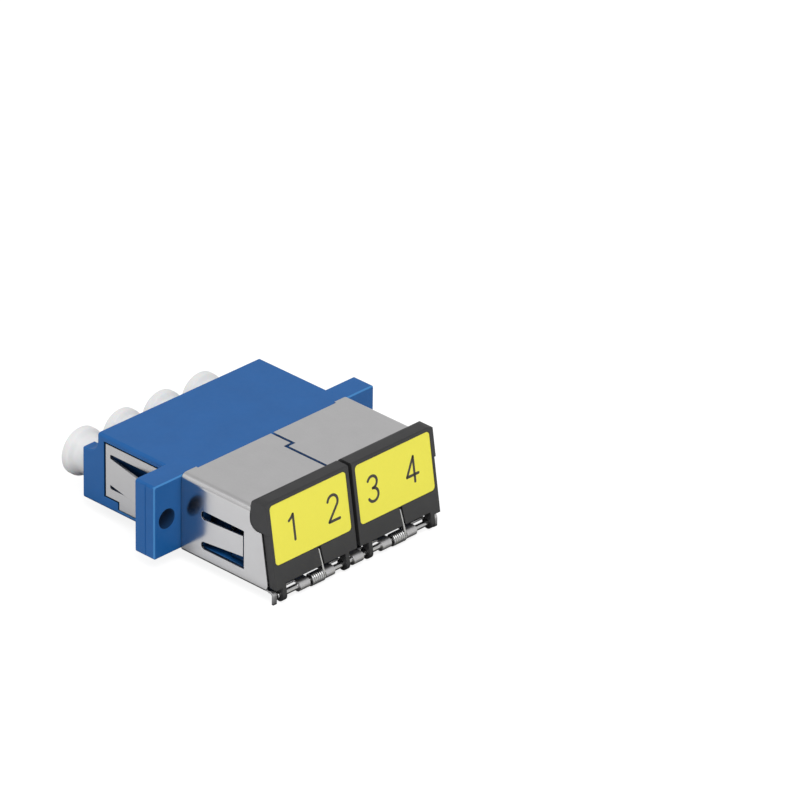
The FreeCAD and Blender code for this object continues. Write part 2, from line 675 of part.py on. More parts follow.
def lip_bevel():
    """Corner cut off the outer end of the lip."""
    _, top, _ = lip_places()
    slope = LIP_BEVEL_DROP / LIP_BEVEL_WIDTH
    x, over = CAGE_HALF_WIDTH + PAST, PAST * 3
    corner = [vec(x, PIN_Y - over, top - LIP_BEVEL_DROP - PAST * slope),
              vec(CAGE_HALF_WIDTH - LIP_BEVEL_WIDTH - over, PIN_Y - over, top + over * slope),
              vec(x, PIN_Y - over, top + over * slope)]
    return prism(Part.makePolygon(corner + corner[:1]).Edges, vec(0, -PIN_Y, 0))


def ear_block(grow):
    """Cheek that fills the notch in the cage's side, larger by grow for the notch itself."""
    low = TOP_Z - NOSE_STEP + EAR_ABOVE_NOSE - grow
    high = lip_places()[0] + CAGE_SHEET
    rear = face_y(CAGE_TOP_Z, FLAP_THICKNESS) + EAR_REACH + grow
    outer = CAGE_HALF_WIDTH + (PAST if grow else 0)
    block = side_prism([(face_y(low, -grow), low), (face_y(high, -grow), high), (rear, high), (rear, low)],
                       CAGE_HALF_WIDTH - EAR_WIDTH - grow, outer)
    return round_edges(block, EAR_CORNER_R + grow, lambda p: abs(p.y - rear) < SAME and abs(p.z - low) < SAME)


def flap_lug(x0, x1):
    """Ear under the plate that turns on the pin, flush with the flap's front face."""
    normal = (-math.cos(LEAN) * LUG_RADIUS, math.sin(LEAN) * LUG_RADIUS)
    rear_shift = (FLAP_THICKNESS - LUG_RADIUS) / LUG_RADIUS
    top = PIN_Z + FLAP_BOTTOM_ABOVE_PIN + CAGE_SHEET
    web = side_prism([(PIN_Y + normal[0], PIN_Z + normal[1]), (face_y(top, 0), top),
                      (face_y(top, FLAP_THICKNESS), top),
                      (PIN_Y - normal[0] * rear_shift, PIN_Z - normal[1] * rear_shift)], x0, x1)
    return web.fuse(rod(LUG_RADIUS, vec(x0, PIN_Y, PIN_Z), vec(x1, PIN_Y, PIN_Z)))


def label_places():
    """Height of the label's top edge and of its bottom edge."""
    return lip_places()[1] - LABEL_BELOW_LIP_TOP, PIN_Z + LABEL_BOTTOM_ABOVE_PIN


def label_plate(side, grow, z0, z1):
    """Rounded rectangle on the flap's face, from z0 to z1 above the face."""
    top, bottom = label_places()
    height = (top - bottom) / math.cos(LEAN)
    plate = box(FLAP_SPLIT + LABEL_INSET - grow, FLAP_OUTER_X - LABEL_OUTER_INSET + grow,
                -height - grow, grow, z0, z1)
    plate = plate.makeFillet(LABEL_CORNER_R, edges_along(plate, vec(0, 0, 1)))
    plate = on_flap_face(plate, top)
    return plate if side > 0 else mirror_x(plate)


def leg_x(side):
    """The leg that presses on the flap is at the +X end of both coils."""
    low, high = hinge_layout()["coil"]
    return high - WIRE_DIAMETER / 2 if side > 0 else -low - WIRE_DIAMETER / 2


def leg_top_z():
    return label_places()[1] - LEG_END_BELOW_LABEL


def leg_length():
    """From the coil's front, straight up the flap and a little sideways, to the tip."""
    start = PIN_Z + coil_radius() * math.sin(LEAN)
    return (leg_top_z() - start) / math.cos(LEAN) / math.cos(math.radians(LEG_SIDE_LEAN))


def leg_groove(side):
    """Groove in the flap's face, from the spring leg's tip down through the bottom edge."""
    half = WIRE_DIAMETER / 2 + LEG_GROOVE_SIDE_GAP
    length = leg_length() + LEG_GROOVE_SIDE_GAP
    depth = LUG_RADIUS - PIN_RADIUS - COIL_CLEARANCE + LEG_GROOVE_GAP
    groove = box(-half, half, 0, length, -depth, PAST)
    groove.rotate(vec(0, 0, 0), vec(0, 0, 1), LEG_SIDE_LEAN)
    groove.translate(vec(leg_x(side), 0, 0))
    return on_flap_face(groove, PIN_Z + LUG_RADIUS * math.sin(LEAN))


def shutter_flap(side):
    layout = hinge_layout()
    top = lip_places()[0] + CAGE_SHEET
    corner = flap_plate(layout["outer_lug"][0], FLAP_OUTER_X, PIN_Z + FLAP_CORNER_ABOVE_PIN, top)
    plate = flap_plate(FLAP_SPLIT, FLAP_OUTER_X, PIN_Z + FLAP_BOTTOM_ABOVE_PIN, top)
    lugs = [flap_lug(*layout["outer_lug"]), flap_lug(*layout["inner_lug"])]
    flap = plate.fuse([corner, flap_lip(), ear_block(0)] + lugs).cut(lip_bevel())
    if side < 0:
        flap = mirror_x(flap)
    bore = rod(PIN_RADIUS + PIN_CLEARANCE, vec(-CAGE_HALF_WIDTH, PIN_Y, PIN_Z),
               vec(CAGE_HALF_WIDTH, PIN_Y, PIN_Z))
    recess = label_plate(side, LABEL_MARGIN, -LABEL_RECESS, PAST)
    return flap.cut([bore, recess, leg_groove(side)]).removeSplitter()


def label(side):
    return label_plate(side, 0, -LABEL_RECESS, LABEL_THICKNESS - LABEL_RECESS)


# Torsion springs

def coil_radius():
    return PIN_RADIUS + COIL_CLEARANCE + WIRE_DIAMETER / 2


def rest_leg_end():
    """Tip of the leg that bears on the underside of the cage's bottom sheet."""
    return vec(0, PIN_Y + REST_LEG_REACH, -CAGE_TOP_Z - WIRE_DIAMETER / 2 - COIL_CLEARANCE)


def rest_leg_angle():
    """Angle on the coil, from +Y towards +Z, where the lower tangent to the rest leg's tip begins."""
    tip = rest_leg_end()
    dy, dz = tip.y - PIN_Y, tip.z - PIN_Z
    return math.atan2(dz, dy) - math.acos(coil_radius() / math.hypot(dy, dz))


def coil_points(x):
    """Close-wound turns about the pin, from the flap's face at x to the start of the rest leg."""
    start = math.pi - LEAN
    sweep = 2 * math.pi * COIL_TURNS + rest_leg_angle() - start
    steps = round(sweep / (2 * math.pi) * COIL_STEPS)
    points = []
    for i in range(steps + 1):
        turned = sweep * i / steps
        angle = start + turned
        points.append(vec(x - COIL_PITCH * turned / (2 * math.pi), PIN_Y + coil_radius() * math.cos(angle),
                          PIN_Z + coil_radius() * math.sin(angle)))
    return points


def torsion_spring(side):
    """Coil on the pin: one leg rises up the flap's face, the other runs back under the cage."""
    coil = coil_points(leg_x(side))
    side_lean = math.radians(LEG_SIDE_LEAN)
    up = vec(-math.sin(side_lean), math.sin(LEAN) * math.cos(side_lean), math.cos(LEAN) * math.cos(side_lean))
    leg_top = coil[0] + up * leg_length()
    rest_end = rest_leg_end()
    rest_end.x = coil[-1].x
    front = up.cross(vec(1, 0, 0)).normalize()
    sideways = front.cross(up)
    corners = []
    for i in range(WIRE_FLATS + 1):
        angle = 2 * math.pi * (i + 0.5) / WIRE_FLATS
        corners.append(leg_top + sideways * (math.cos(angle) * WIRE_DIAMETER / 2)
                       + front * (math.sin(angle) * WIRE_DIAMETER / 2))
    path = Part.makePolygon([leg_top] + coil + [rest_end])
    mitred = 1
    return path.makePipeShell([Part.makePolygon(corners)], True, False, mitred)


# Dust plugs

def dust_plug(x):
    """Hollow plug turned about the port's axis: nose, barrel, flared neck and funnelled head."""
    barrel = min(PORT_WIDTH, PORT_HEIGHT) / 2 - PLUG_SIDE_GAP
    nose_y = HOLDER_END - PLUG_NOSE_OVERLAP
    nose_bore = HOLDER_DIAMETER / 2 + PLUG_NOSE_GAP
    head_back = PLUG_FRONT_Y + PLUG_HEAD_STANDOFF
    head_front = head_back + PLUG_HEAD_THICKNESS
    head, neck = PLUG_HEAD_DIAMETER / 2, barrel + PLUG_NECK_FLARE
    throat_y = head_front - PLUG_FUNNEL_DEPTH
    outline = [(0, nose_y + PLUG_NOSE_DEPTH), (nose_bore, nose_y + PLUG_NOSE_DEPTH), (nose_bore, nose_y),
               (barrel, nose_y), (barrel, head_back - PLUG_FLARE_LENGTH), (neck, head_back),
               (head, head_back), (head, head_front), (PLUG_FUNNEL_MOUTH / 2, head_front),
               (PLUG_FUNNEL_THROAT / 2, throat_y), (PLUG_FUNNEL_THROAT / 2, head_front - PLUG_HOLE_DEPTH),
               (0, head_front - PLUG_HOLE_DEPTH)]
    points = [vec(r, y, 0) for r, y in outline]
    face = Part.Face(Part.makePolygon(points + points[:1]))
    plug = face.revolve(vec(0, 0, 0), vec(0, 1, 0), 360)
    plug.translate(vec(x, 0, PORT_MIDDLE_Z))
    return plug


def all_parts():
    parts = {"plug_side_housing": plug_side_housing(), "shutter_side_housing": shutter_side_housing(),
             "panel_clip": panel_clip(), "shutter_cage": shutter_cage(), "hinge_pin": hinge_pin()}
    for i, x in enumerate(port_centres(), 1):
        parts["alignment_sleeve_%d" % i] = alignment_sleeve(x)
        parts["dust_plug_%d" % i] = dust_plug(x)
    for name, side in (("left", -1), ("right", 1)):
        parts["shutter_flap_" + name] = shutter_flap(side)
        parts["label_" + name] = label(side)
        parts["torsion_spring_" + name] = torsion_spring(side)
    return parts


os.makedirs("parts", exist_ok=True)
for node, shape in all_parts().items():
    if not shape.isValid() or len(shape.Solids) != 1:
        raise ValueError("%s is not one sound solid" % node)
    shape.Solids[0].exportStep("parts/%s.step" % node)
    print("%-24s %8.2f mm3" % (node, shape.Volume))
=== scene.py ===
"""Looks of a four-port LC fibre adapter with sprung shutters and dust plugs, round its solid model."""
import json
import math

import bpy
import bmesh
import numpy as np
from mathutils import Matrix, Vector


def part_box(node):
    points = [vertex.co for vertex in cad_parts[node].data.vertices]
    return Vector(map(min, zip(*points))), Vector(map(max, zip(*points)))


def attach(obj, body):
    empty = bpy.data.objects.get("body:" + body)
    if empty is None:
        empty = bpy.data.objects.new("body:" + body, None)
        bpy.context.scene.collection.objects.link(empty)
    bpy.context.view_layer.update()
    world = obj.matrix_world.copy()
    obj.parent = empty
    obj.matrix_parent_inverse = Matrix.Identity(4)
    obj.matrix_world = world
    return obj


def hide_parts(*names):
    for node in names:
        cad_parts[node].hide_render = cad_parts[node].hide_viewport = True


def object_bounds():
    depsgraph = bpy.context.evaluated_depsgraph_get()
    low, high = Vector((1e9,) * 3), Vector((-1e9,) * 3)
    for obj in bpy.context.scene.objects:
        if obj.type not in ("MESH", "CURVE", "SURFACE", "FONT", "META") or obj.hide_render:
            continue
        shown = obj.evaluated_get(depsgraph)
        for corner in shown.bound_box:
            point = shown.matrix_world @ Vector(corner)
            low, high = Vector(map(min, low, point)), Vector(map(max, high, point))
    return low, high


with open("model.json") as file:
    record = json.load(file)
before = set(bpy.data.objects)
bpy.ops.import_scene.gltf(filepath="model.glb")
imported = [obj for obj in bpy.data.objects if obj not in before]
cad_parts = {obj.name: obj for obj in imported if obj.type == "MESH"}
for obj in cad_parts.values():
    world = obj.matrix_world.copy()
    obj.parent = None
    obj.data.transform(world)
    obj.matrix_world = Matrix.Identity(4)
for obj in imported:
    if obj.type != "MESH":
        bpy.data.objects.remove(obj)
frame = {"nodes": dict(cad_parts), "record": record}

bl_info = {
    "name": "LC fibre adapter",
    "version": (1, 0, 0),
    "blender": (4, 5, 0),
    "location": "3D View > Sidebar > Fibre adapter",
    "description": "Dresses the adapter's solid model with finishes, wound springs and turned dust plugs",
    "category": "Object",
}

SOLID_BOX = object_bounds()

# Places on the solids, in metres
PIN_LOW, PIN_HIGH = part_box("hinge_pin")
PIN_Y = (PIN_LOW.y + PIN_HIGH.y) / 2
PIN_Z = (PIN_LOW.z + PIN_HIGH.z) / 2
PIN_RADIUS = (PIN_HIGH.z - PIN_LOW.z) / 2
LEAN = math.radians(9.2)
ACROSS = np.array([1.0, 0, 0])
UP_THE_LEAN = np.array([0, math.sin(LEAN), math.cos(LEAN)])
OUT_OF_THE_LEAN = np.array([0, -math.cos(LEAN), math.sin(LEAN)])
PORTS = {1: -0.009375, 2: -0.003125, 3: 0.003125, 4: 0.009375}
PORT_Z = -0.00135
SHUTTERS = {"left": (1, 2), "right": (3, 4)}
LABEL_THICKNESS = 0.00008
HOLE_X, HOLE_RADIUS = 0.01535, 0.0012
FRONT_BEVEL_Y = -0.00133
CAGE_REAR_Y = -0.0017
RECESS_WALL_X = 0.0125
RECESS_TOP_Z, RECESS_BOTTOM_Z = 0.00375, -0.00305
RECESS_FRONT_Y, RECESS_REAR_Y = 0.0016, 0.0111
STRAP_EDGE_Y = 0.00895
SLOT_MIDDLE_Y, SLOT_HALF_LENGTH, SLOT_HALF_HEIGHT = -0.00795, 0.0034, 0.00043
CAGE_SHEET, SOLID_CAGE_BEND = 0.00025, 0.00045
TOLERANCE = 2e-6

# Heights of the middle of each side slot and of the tongue's edge beside it, and how much taller it gets
CAGE_SLOTS = ((0.000875, 0.00045, 1.25), (-0.002775, -0.00235, 1.1))

# Faces whose normals and distances from the origin differ by less than these lie in one plane
PLANE_TURN, PLANE_STEP = 0.002, 0.000005

# Height of the ink over the label's face, and how deep it goes in
INK_ABOVE, INK_BELOW = 0.000008, 0.00002

# Name, share of the key light's power, place and side of each softbox
SOFTBOXES = (("Key light", 1.0, (-0.20, -0.30, 0.53), 0.36),
             ("Fill light", 0.045, (-0.50, 0.05, 0.22), 0.30),
             ("Back light", 0.045, (-0.28, 0.37, 0.38), 0.12))

# Strokes of the port numbers in a box one unit high about its middle. A stroke joins points and arcs, and
# an arc is (middle across, middle up, radius, first angle, last angle) in degrees.
NUMERALS = {
    1: [[[(-0.17, 0.31), (-0.04, 0.40), (0.05, 0.5)]], [[(0.05, 0.5), (0.05, 0.0), (0.05, -0.5)]]],
    2: [[(0.0, 0.24, 0.26, 165, -38), [(-0.24, -0.46), (-0.26, -0.49)]],
        [[(-0.26, -0.5), (0.0, -0.5), (0.28, -0.5)]]],
    3: [[(0.0, 0.26, 0.24, 155, -90)], [(0.0, -0.24, 0.26, 90, -155)]],
    4: [[[(0.10, 0.5), (-0.1, 0.14), (-0.30, -0.22)]], [[(-0.30, -0.22), (0.0, -0.22), (0.30, -0.22)]],
        [[(0.10, 0.5), (0.10, 0.0), (0.10, -0.5)]]],
}


# Settings

class AdapterSizes(bpy.types.PropertyGroup):
    """Sizes of the pieces that are made here."""
    wire_diameter: bpy.props.FloatProperty(
        name="Wire diameter", description="Thickness of the torsion springs' wire",
        default=0.00026, unit="LENGTH")
    coil_gap: bpy.props.FloatProperty(
        name="Coil gap", description="Space between the hinge pin and the coil round it",
        default=0.00013, unit="LENGTH")
    coil_turns: bpy.props.IntProperty(
        name="Coil turns", description="Whole turns of each torsion spring", default=7)
    coil_pitch: bpy.props.FloatProperty(
        name="Coil pitch", description="Distance between one turn of wire and the next",
        default=0.00029, unit="LENGTH")
    coil_start: bpy.props.FloatProperty(
        name="Coil start", description="Outer end of each coil, measured from the middle of the adapter",
        default=0.00757, unit="LENGTH")
    leg_lean: bpy.props.FloatProperty(
        name="Leg lean", description="Sideways slant of the spring's leg on the shutter",
        default=math.radians(7), subtype="ANGLE")
    leg_length: bpy.props.FloatProperty(
        name="Leg length", description="Length of the spring's leg on the shutter",
        default=0.00329, unit="LENGTH")
    leg_sink: bpy.props.FloatProperty(
        name="Leg sink", description="How far that leg dips into the shutter's groove on its way up",
        default=0.0001, unit="LENGTH")
    rest_leg_reach: bpy.props.FloatProperty(
        name="Rest leg reach", description="How far behind the pin the spring's other leg ends",
        default=0.0024, unit="LENGTH")
    rest_leg_height: bpy.props.FloatProperty(
        name="Rest leg height", description="Height of that leg's tip above the pin's axis",
        default=0.00022, unit="LENGTH")
    pin_end_round: bpy.props.FloatProperty(
        name="Pin end rounding", description="Radius on the rims of the hinge pin",
        default=0.00009, unit="LENGTH")
    plug_barrel: bpy.props.FloatProperty(
        name="Plug barrel", description="Radius of the dust plugs' barrels and of their funnels' mouths",
        default=0.00225, unit="LENGTH")
    plug_head: bpy.props.FloatProperty(
        name="Plug head", description="Radius of the dust plugs' heads", default=0.0029, unit="LENGTH")
    plug_head_length: bpy.props.FloatProperty(
        name="Plug head length", description="Thickness of the dust plugs' heads along their axes",
        default=0.0011, unit="LENGTH")
    plug_flare: bpy.props.FloatProperty(
        name="Plug flare", description="Radius at which the barrel's flare meets the head",
        default=0.0024, unit="LENGTH")
    plug_nose_bore: bpy.props.FloatProperty(
        name="Plug nose bore", description="Radius of the hollow in the dust plugs' noses",
        default=0.0016, unit="LENGTH")
    plug_nose_depth: bpy.props.FloatProperty(
        name="Plug nose depth", description="Depth of that hollow", default=0.0032, unit="LENGTH")
    plug_throat: bpy.props.FloatProperty(
        name="Plug throat", description="Radius of the hole at the bottom of the funnel",
        default=0.00115, unit="LENGTH")
    plug_funnel_depth: bpy.props.FloatProperty(
        name="Plug funnel depth", description="Depth of the funnel in a dust plug's head",
        default=0.0023, unit="LENGTH")
    plug_hole_depth: bpy.props.FloatProperty(
        name="Plug hole depth", description="Depth of the hole behind the funnel, from the head's face",
        default=0.0042, unit="LENGTH")
    plug_head_round: bpy.props.FloatProperty(
        name="Plug head rounding", description="Radius on the front rims of the dust plugs' heads",
        default=0.00022, unit="LENGTH")
    plug_back_round: bpy.props.FloatProperty(
        name="Plug back rounding", description="Radius that turns the flare into the rim of a plug's head",
        default=0.00045, unit="LENGTH")
    cage_bend: bpy.props.FloatProperty(
        name="Cage bend", description="Outer radius of the cage's top bends", default=0.0008, unit="LENGTH")
    recess_gap: bpy.props.FloatProperty(
        name="Recess gap", description="Extra space between the housing's recess and the clip in it",
        default=0.0001, unit="LENGTH")
    numeral_height: bpy.props.FloatProperty(
        name="Numeral height", description="Height of the port numbers on the labels",
        default=0.0030, unit="LENGTH")
    numeral_stroke: bpy.props.FloatProperty(
        name="Numeral stroke", description="Width of the strokes of the port numbers",
        default=0.00034, unit="LENGTH")


class AdapterColours(bpy.types.PropertyGroup):
    """Colours of the finishes, as linear light."""
    housing: bpy.props.FloatVectorProperty(
        name="Housing", description="Moulded blue plastic", subtype="COLOR", default=(0.012, 0.118, 0.372))
    # Colour of the painted highlight that lightens the housing's edges
    housing_highlight_paint: bpy.props.FloatVectorProperty(
        name="Housing edges", description="Burnished edges of the blue plastic", subtype="COLOR",
        default=(0.07, 0.27, 0.60))
    shutter: bpy.props.FloatVectorProperty(
        name="Shutter", description="Moulded black plastic", subtype="COLOR", default=(0.027, 0.027, 0.028))
    plug: bpy.props.FloatVectorProperty(
        name="Dust plug", description="Soft white plastic", subtype="COLOR", default=(0.86, 0.86, 0.855))
    label: bpy.props.FloatVectorProperty(
        name="Label", description="Printed yellow film", subtype="COLOR", default=(0.955, 0.885, 0.087))
    ink: bpy.props.FloatVectorProperty(
        name="Ink", description="Dark print on the labels", subtype="COLOR", default=(0.045, 0.04, 0.03))
    sheet: bpy.props.FloatVectorProperty(
        name="Steel sheet", description="Stainless sheet of cage and clip", subtype="COLOR",
        default=(0.66, 0.655, 0.66))
    wire: bpy.props.FloatVectorProperty(
        name="Wire and pin", description="Bright drawn steel", subtype="COLOR", default=(0.62, 0.62, 0.62))
    ceramic: bpy.props.FloatVectorProperty(
        name="Sleeve", description="Ground white ceramic", subtype="COLOR", default=(0.85, 0.84, 0.80))


class AdapterStage(bpy.types.PropertyGroup):
    """Camera and light."""
    azimuth: bpy.props.FloatProperty(
        name="Azimuth", description="Turn of the camera round the adapter", subtype="ANGLE",
        default=math.radians(-46.209))
    elevation: bpy.props.FloatProperty(
        name="Elevation", description="Height of the camera as an angle", subtype="ANGLE",
        default=math.radians(28.087))
    roll: bpy.props.FloatProperty(
        name="Roll", description="Turn of the camera about its own line of sight", subtype="ANGLE",
        default=math.radians(-0.883))
    distance: bpy.props.FloatProperty(
        name="Distance", description="From the camera to the point that it aims at", unit="LENGTH",
        default=0.83333)
    aim: bpy.props.FloatVectorProperty(
        name="Aim", description="Point that the camera looks at", subtype="TRANSLATION",
        default=(0.0138154, -0.0088402, 0.0068219))
    lens: bpy.props.FloatProperty(
        name="Lens", description="Focal length in millimetres for a 36 mm sensor", default=335.14)
    sky: bpy.props.FloatProperty(
        name="Sky", description="Brightness of the room on the object", default=0.58)
    sky_gloss: bpy.props.FloatProperty(
        name="Sky in metal", description="Brightness of the room as metal mirrors it", default=0.68)
    key: bpy.props.FloatProperty(
        name="Key light", description="Power of the softbox overhead, in watts", default=1.85)
    floor_z: bpy.props.FloatProperty(
        name="Floor", description="Height of the floor under the adapter", unit="LENGTH", default=-0.00622)


# Shader expressions

class Wire:
    """One output of a shader node; arithmetic on it adds the Math nodes that it stands for."""

    def __init__(self, sheet, socket):
        self.sheet, self.socket = sheet, socket

    def __add__(self, other):
        return self.sheet.maths("ADD", self, other)

    def __sub__(self, other):
        return self.sheet.maths("SUBTRACT", self, other)

    def __rsub__(self, other):
        return self.sheet.maths("SUBTRACT", other, self)

    def __mul__(self, other):
        return self.sheet.maths("MULTIPLY", self, other)

    def __abs__(self):
        return self.sheet.maths("ABSOLUTE", self)

    __radd__ = __add__
    __rmul__ = __mul__

    def between(self, low, high):
        """0 below low, 1 above high and a straight ramp between."""
        return self.sheet.node("ShaderNodeMapRange", {"clamp": True},
                               {"Value": self, "From Min": low, "From Max": high})

    def near(self, middle, half, fade):
        """1 up to half away from middle, and down to 0 over the next fade."""
        return 1 - abs(self - middle).between(half, half + fade)


class NodeSheet:
    """A node tree that is written as expressions."""

    def __init__(self, tree):
        self.tree = tree
        tree.nodes.clear()

    def node(self, kind, settings=None, inputs=None, output=0):
        """Add a node: settings first, then the values or links of its sockets."""
        made = self.tree.nodes.new(kind)
        for key, value in (settings or {}).items():
            setattr(made, key, value)
        for key, value in (inputs or {}).items():
            if isinstance(value, Wire):
                self.tree.links.new(value.socket, made.inputs[key])
            else:
                made.inputs[key].default_value = value
        return Wire(self, made.outputs[output]) if made.outputs else made

    def maths(self, operation, *values):
        """A Math node on values or links."""
        return self.node("ShaderNodeMath", {"operation": operation}, dict(enumerate(values)))

    def position(self, centre=(0, 0, 0), stretch=(1, 1, 1)):
        """Object coordinates in metres, seen from a centre and stretched along the axes."""
        place = self.node("ShaderNodeTexCoord", output="Object")
        return self.node("ShaderNodeMapping", {"vector_type": "POINT"},
                         {"Vector": place, "Location": tuple(-c * s for c, s in zip(centre, stretch)),
                          "Scale": stretch})

    def noise(self, size, detail=2.0, stretch=(1, 1, 1)):
        """Cloudy pattern, 0 to 1, whose features are about size metres across."""
        return self.node("ShaderNodeTexNoise", None,
                         {"Vector": self.position(stretch=stretch), "Scale": 1 / size, "Detail": detail})

    def mix(self, mask, first, second):
        """Colour that goes from first to second as mask goes from 0 to 1."""
        return self.node("ShaderNodeMix", {"data_type": "RGBA"},
                         {0: mask, 6: first, 7: second}, output=2)

    def blend(self, mask, first, second):
        """Vector that goes from first to second as mask goes from 0 to 1."""
        return self.node("ShaderNodeMix", {"data_type": "VECTOR"}, {0: mask, 4: first, 5: second}, output=1)

    def normal(self, which="Normal"):
        """The surface's direction: Normal as it is shaded, True Normal as the faces lie."""
        return self.node("ShaderNodeNewGeometry", output=which)

    def soft_edge(self, radius):
        """Normal that turns smoothly over edges, as if they were rounded by radius."""
        return self.node("ShaderNodeBevel", {"samples": 6}, {"Radius": radius})

    def split(self, vector):
        """The three parts of a vector."""
        parts = self.node("ShaderNodeSeparateXYZ", None, {0: vector})
        return [Wire(self, socket) for socket in parts.socket.node.outputs]

    def largest(self, first, *others):
        """The largest of several values."""
        for other in others:
            first = self.maths("MAXIMUM", first, other)
        return first

    def facing_up(self):
        """1 on faces that look up or down, 0 on upright ones."""
        return abs(self.split(self.normal("True Normal"))[2])

    def hollow(self, reach):
        """1 in the open, down to 0 in recesses narrower than about reach."""
        return self.node("ShaderNodeAmbientOcclusion", {"samples": 12}, {"Distance": reach}, output="AO")

    def slant(self):
        """1 on faces that look half way between two of the axes, 0 on faces square to one."""
        x, y, z = self.split(self.normal())
        return (1 - self.largest(abs(x), abs(y), abs(z))).between(0.02, 0.22)

    def edge_mask(self, radius):
        """1 where a rounded edge turns most, 0 on flat faces."""
        along = self.node("ShaderNodeVectorMath", {"operation": "DOT_PRODUCT"},
                          {0: self.soft_edge(radius), 1: self.normal("True Normal")}, output=1)
        return (1 - along).between(0.02, 0.25)


class Finish(NodeSheet):
    """A material of one Principled shader."""

    def __init__(self, name):
        self.material = bpy.data.materials.new(name)
        self.material.use_nodes = True
        super().__init__(self.material.node_tree)

    def shade(self, relief=None, relief_depth=0.0, edge=None, **sockets):
        """Finish the material: sockets by name, an edge normal and a relief in metres over it."""
        inputs = {key.replace("_", " "): value for key, value in sockets.items()}
        if relief is not None:
            bump = {"Height": relief, "Distance": relief_depth, "Strength": 1.0}
            if edge is not None:
                bump["Normal"] = edge
            inputs["Normal"] = self.node("ShaderNodeBump", None, bump)
        elif edge is not None:
            inputs["Normal"] = edge
        shader = self.node("ShaderNodeBsdfPrincipled", None, inputs)
        self.node("ShaderNodeOutputMaterial", None, {"Surface": shader})
        return self.material


def shade_of(colour, factor=1.0):
    """Colour with its alpha, made lighter or darker by a factor."""
    return tuple(min(c * factor, 1.0) for c in colour) + (1.0,)


# Finishes

def blue_plastic(colours):
    """Satin moulding: faint cloudiness, fine spark texture, edges with a painted highlight and hollows
    darkened with painted shade.

    The groove of the joint keeps sharp edges and gets no painted highlight, the flange's front bevel gets the
    strongest painted highlight, and the surfaces behind the cage and the clip and in the two round holes get
    darker painted shade, the holes also a higher roughness.
    """
    f = Finish("blue_plastic")
    cloud = f.noise(0.004, 3.0).between(0.3, 0.7)
    body = f.mix(cloud, shade_of(colours.housing, 0.96), shade_of(colours.housing, 1.04))
    x, y, z = f.split(f.position())
    off_joint = 1 - y.near(0, 0.00014, 0.00006)
    front_bevel = y.near(FRONT_BEVEL_Y, 0.0001, 0.0002)
    from_axis = (abs(x) - HOLE_X) * (abs(x) - HOLE_X) + z * z
    bore = 1 - from_axis.between((HOLE_RADIUS + 0.00002) ** 2, (HOLE_RADIUS + 0.00004) ** 2)
    # Painted highlight: edges and the flange's front bevel are mixed towards a lighter blue, except in the
    # holes
    painted_edge_highlight = f.largest(f.edge_mask(0.00014) * off_joint * 0.6, f.slant() * front_bevel * 0.8) * (1 - bore)
    body_with_painted_highlight = f.mix(painted_edge_highlight, body, shade_of(colours.housing_highlight_paint))
    # Painted shade: ambient occlusion, the surfaces under the cage, beside the clip and in the two holes mix
    # towards a dark blue
    painted_shade_under_cage = 1 - y.between(CAGE_REAR_Y - 0.0005, CAGE_REAR_Y)
    painted_shade_beside_clip = abs(x).near(RECESS_WALL_X, 0.0001, 0.0001) * y.between(RECESS_FRONT_Y, RECESS_FRONT_Y + 0.0002)
    clear_of_painted_shade = (f.hollow(0.0028) - painted_shade_under_cage * 0.18 - painted_shade_beside_clip * 0.26).between(0.15, 0.62) * (1 - bore * 0.72)
    # The dark end of this mix is the colour of the painted shade
    colour = f.mix(clear_of_painted_shade, shade_of(colours.housing, 0.12), body_with_painted_highlight)
    return f.shade(Base_Color=colour, Roughness=0.36 + f.noise(0.0006) * 0.10 + bore * 0.4, IOR=1.48,
                   Specular_IOR_Level=0.25, relief=f.noise(0.00006, 2.0), relief_depth=0.0000012,
                   edge=f.blend(off_joint, f.normal(), f.soft_edge(0.00012)))


def black_plastic(colours):
    """Dark moulding with a fine eroded texture, lighter in colour along its edges."""
    f = Finish("black_plastic")
    cloud = f.noise(0.002, 3.0).between(0.3, 0.7)
    body = f.mix(cloud, shade_of(colours.shutter, 0.9), shade_of(colours.shutter, 1.1))
    colour = f.mix(f.edge_mask(0.0001) * 0.4, body, shade_of(colours.shutter, 1.9))
    grain = f.noise(0.00009, 3.0)
    return f.shade(Base_Color=colour, Roughness=0.46 + f.noise(0.0005) * 0.10, IOR=1.5,
                   relief=grain, relief_depth=0.000003, edge=f.soft_edge(0.0001))


def white_plastic(colours):
    """Soft white moulding with a waxy gloss."""
    f = Finish("white_plastic")
    cloud = f.noise(0.002, 2.0).between(0.3, 0.7)
    colour = f.mix(cloud, shade_of(colours.plug, 0.985), shade_of(colours.plug, 1.01))
    return f.shade(Base_Color=colour, Roughness=0.34 + f.noise(0.0007) * 0.08, IOR=1.5,
                   Subsurface_Weight=0.12, Subsurface_Scale=0.0006,
                   relief=f.noise(0.0001, 2.0), relief_depth=0.0000015)


def sheet_steel(name, colours, tint, satin, polish):
    """Rolled stainless sheet with fine mottling: roughness satin on flat tops and polish on upright sides.

    It is duller on bends, and dullest on the knuckles rolled round the pin.
    """
    f = Finish(name)
    up = f.facing_up().between(0.6, 0.9)
    mottle = f.noise(0.00012, 3.0)
    streak = f.noise(0.0004, 2.0, stretch=(1, 0.2, 1))
    blotch = f.noise(0.0025, 2.0)
    tone = (mottle * 0.5 + streak * 0.15 + blotch * 0.35).between(0.3, 0.7)
    colour = f.mix(tone, shade_of(colours.sheet, tint * 0.94), shade_of(colours.sheet, tint * 1.04))
    _, y, z = f.split(f.position((0, PIN_Y, PIN_Z)))
    rolled = 1 - (y * y + z * z).between((PIN_RADIUS + 0.00035) ** 2, (PIN_RADIUS + 0.00055) ** 2)
    rough = polish + up * (satin - polish) * (1 - rolled) + f.largest(f.slant() * 0.16, rolled * 0.28)
    return f.shade(Base_Color=colour, Metallic=1.0, Roughness=rough + (mottle - 0.5) * 0.06,
                   relief=mottle * 0.85 + streak * 0.15, relief_depth=0.0000008, edge=f.soft_edge(0.00004))


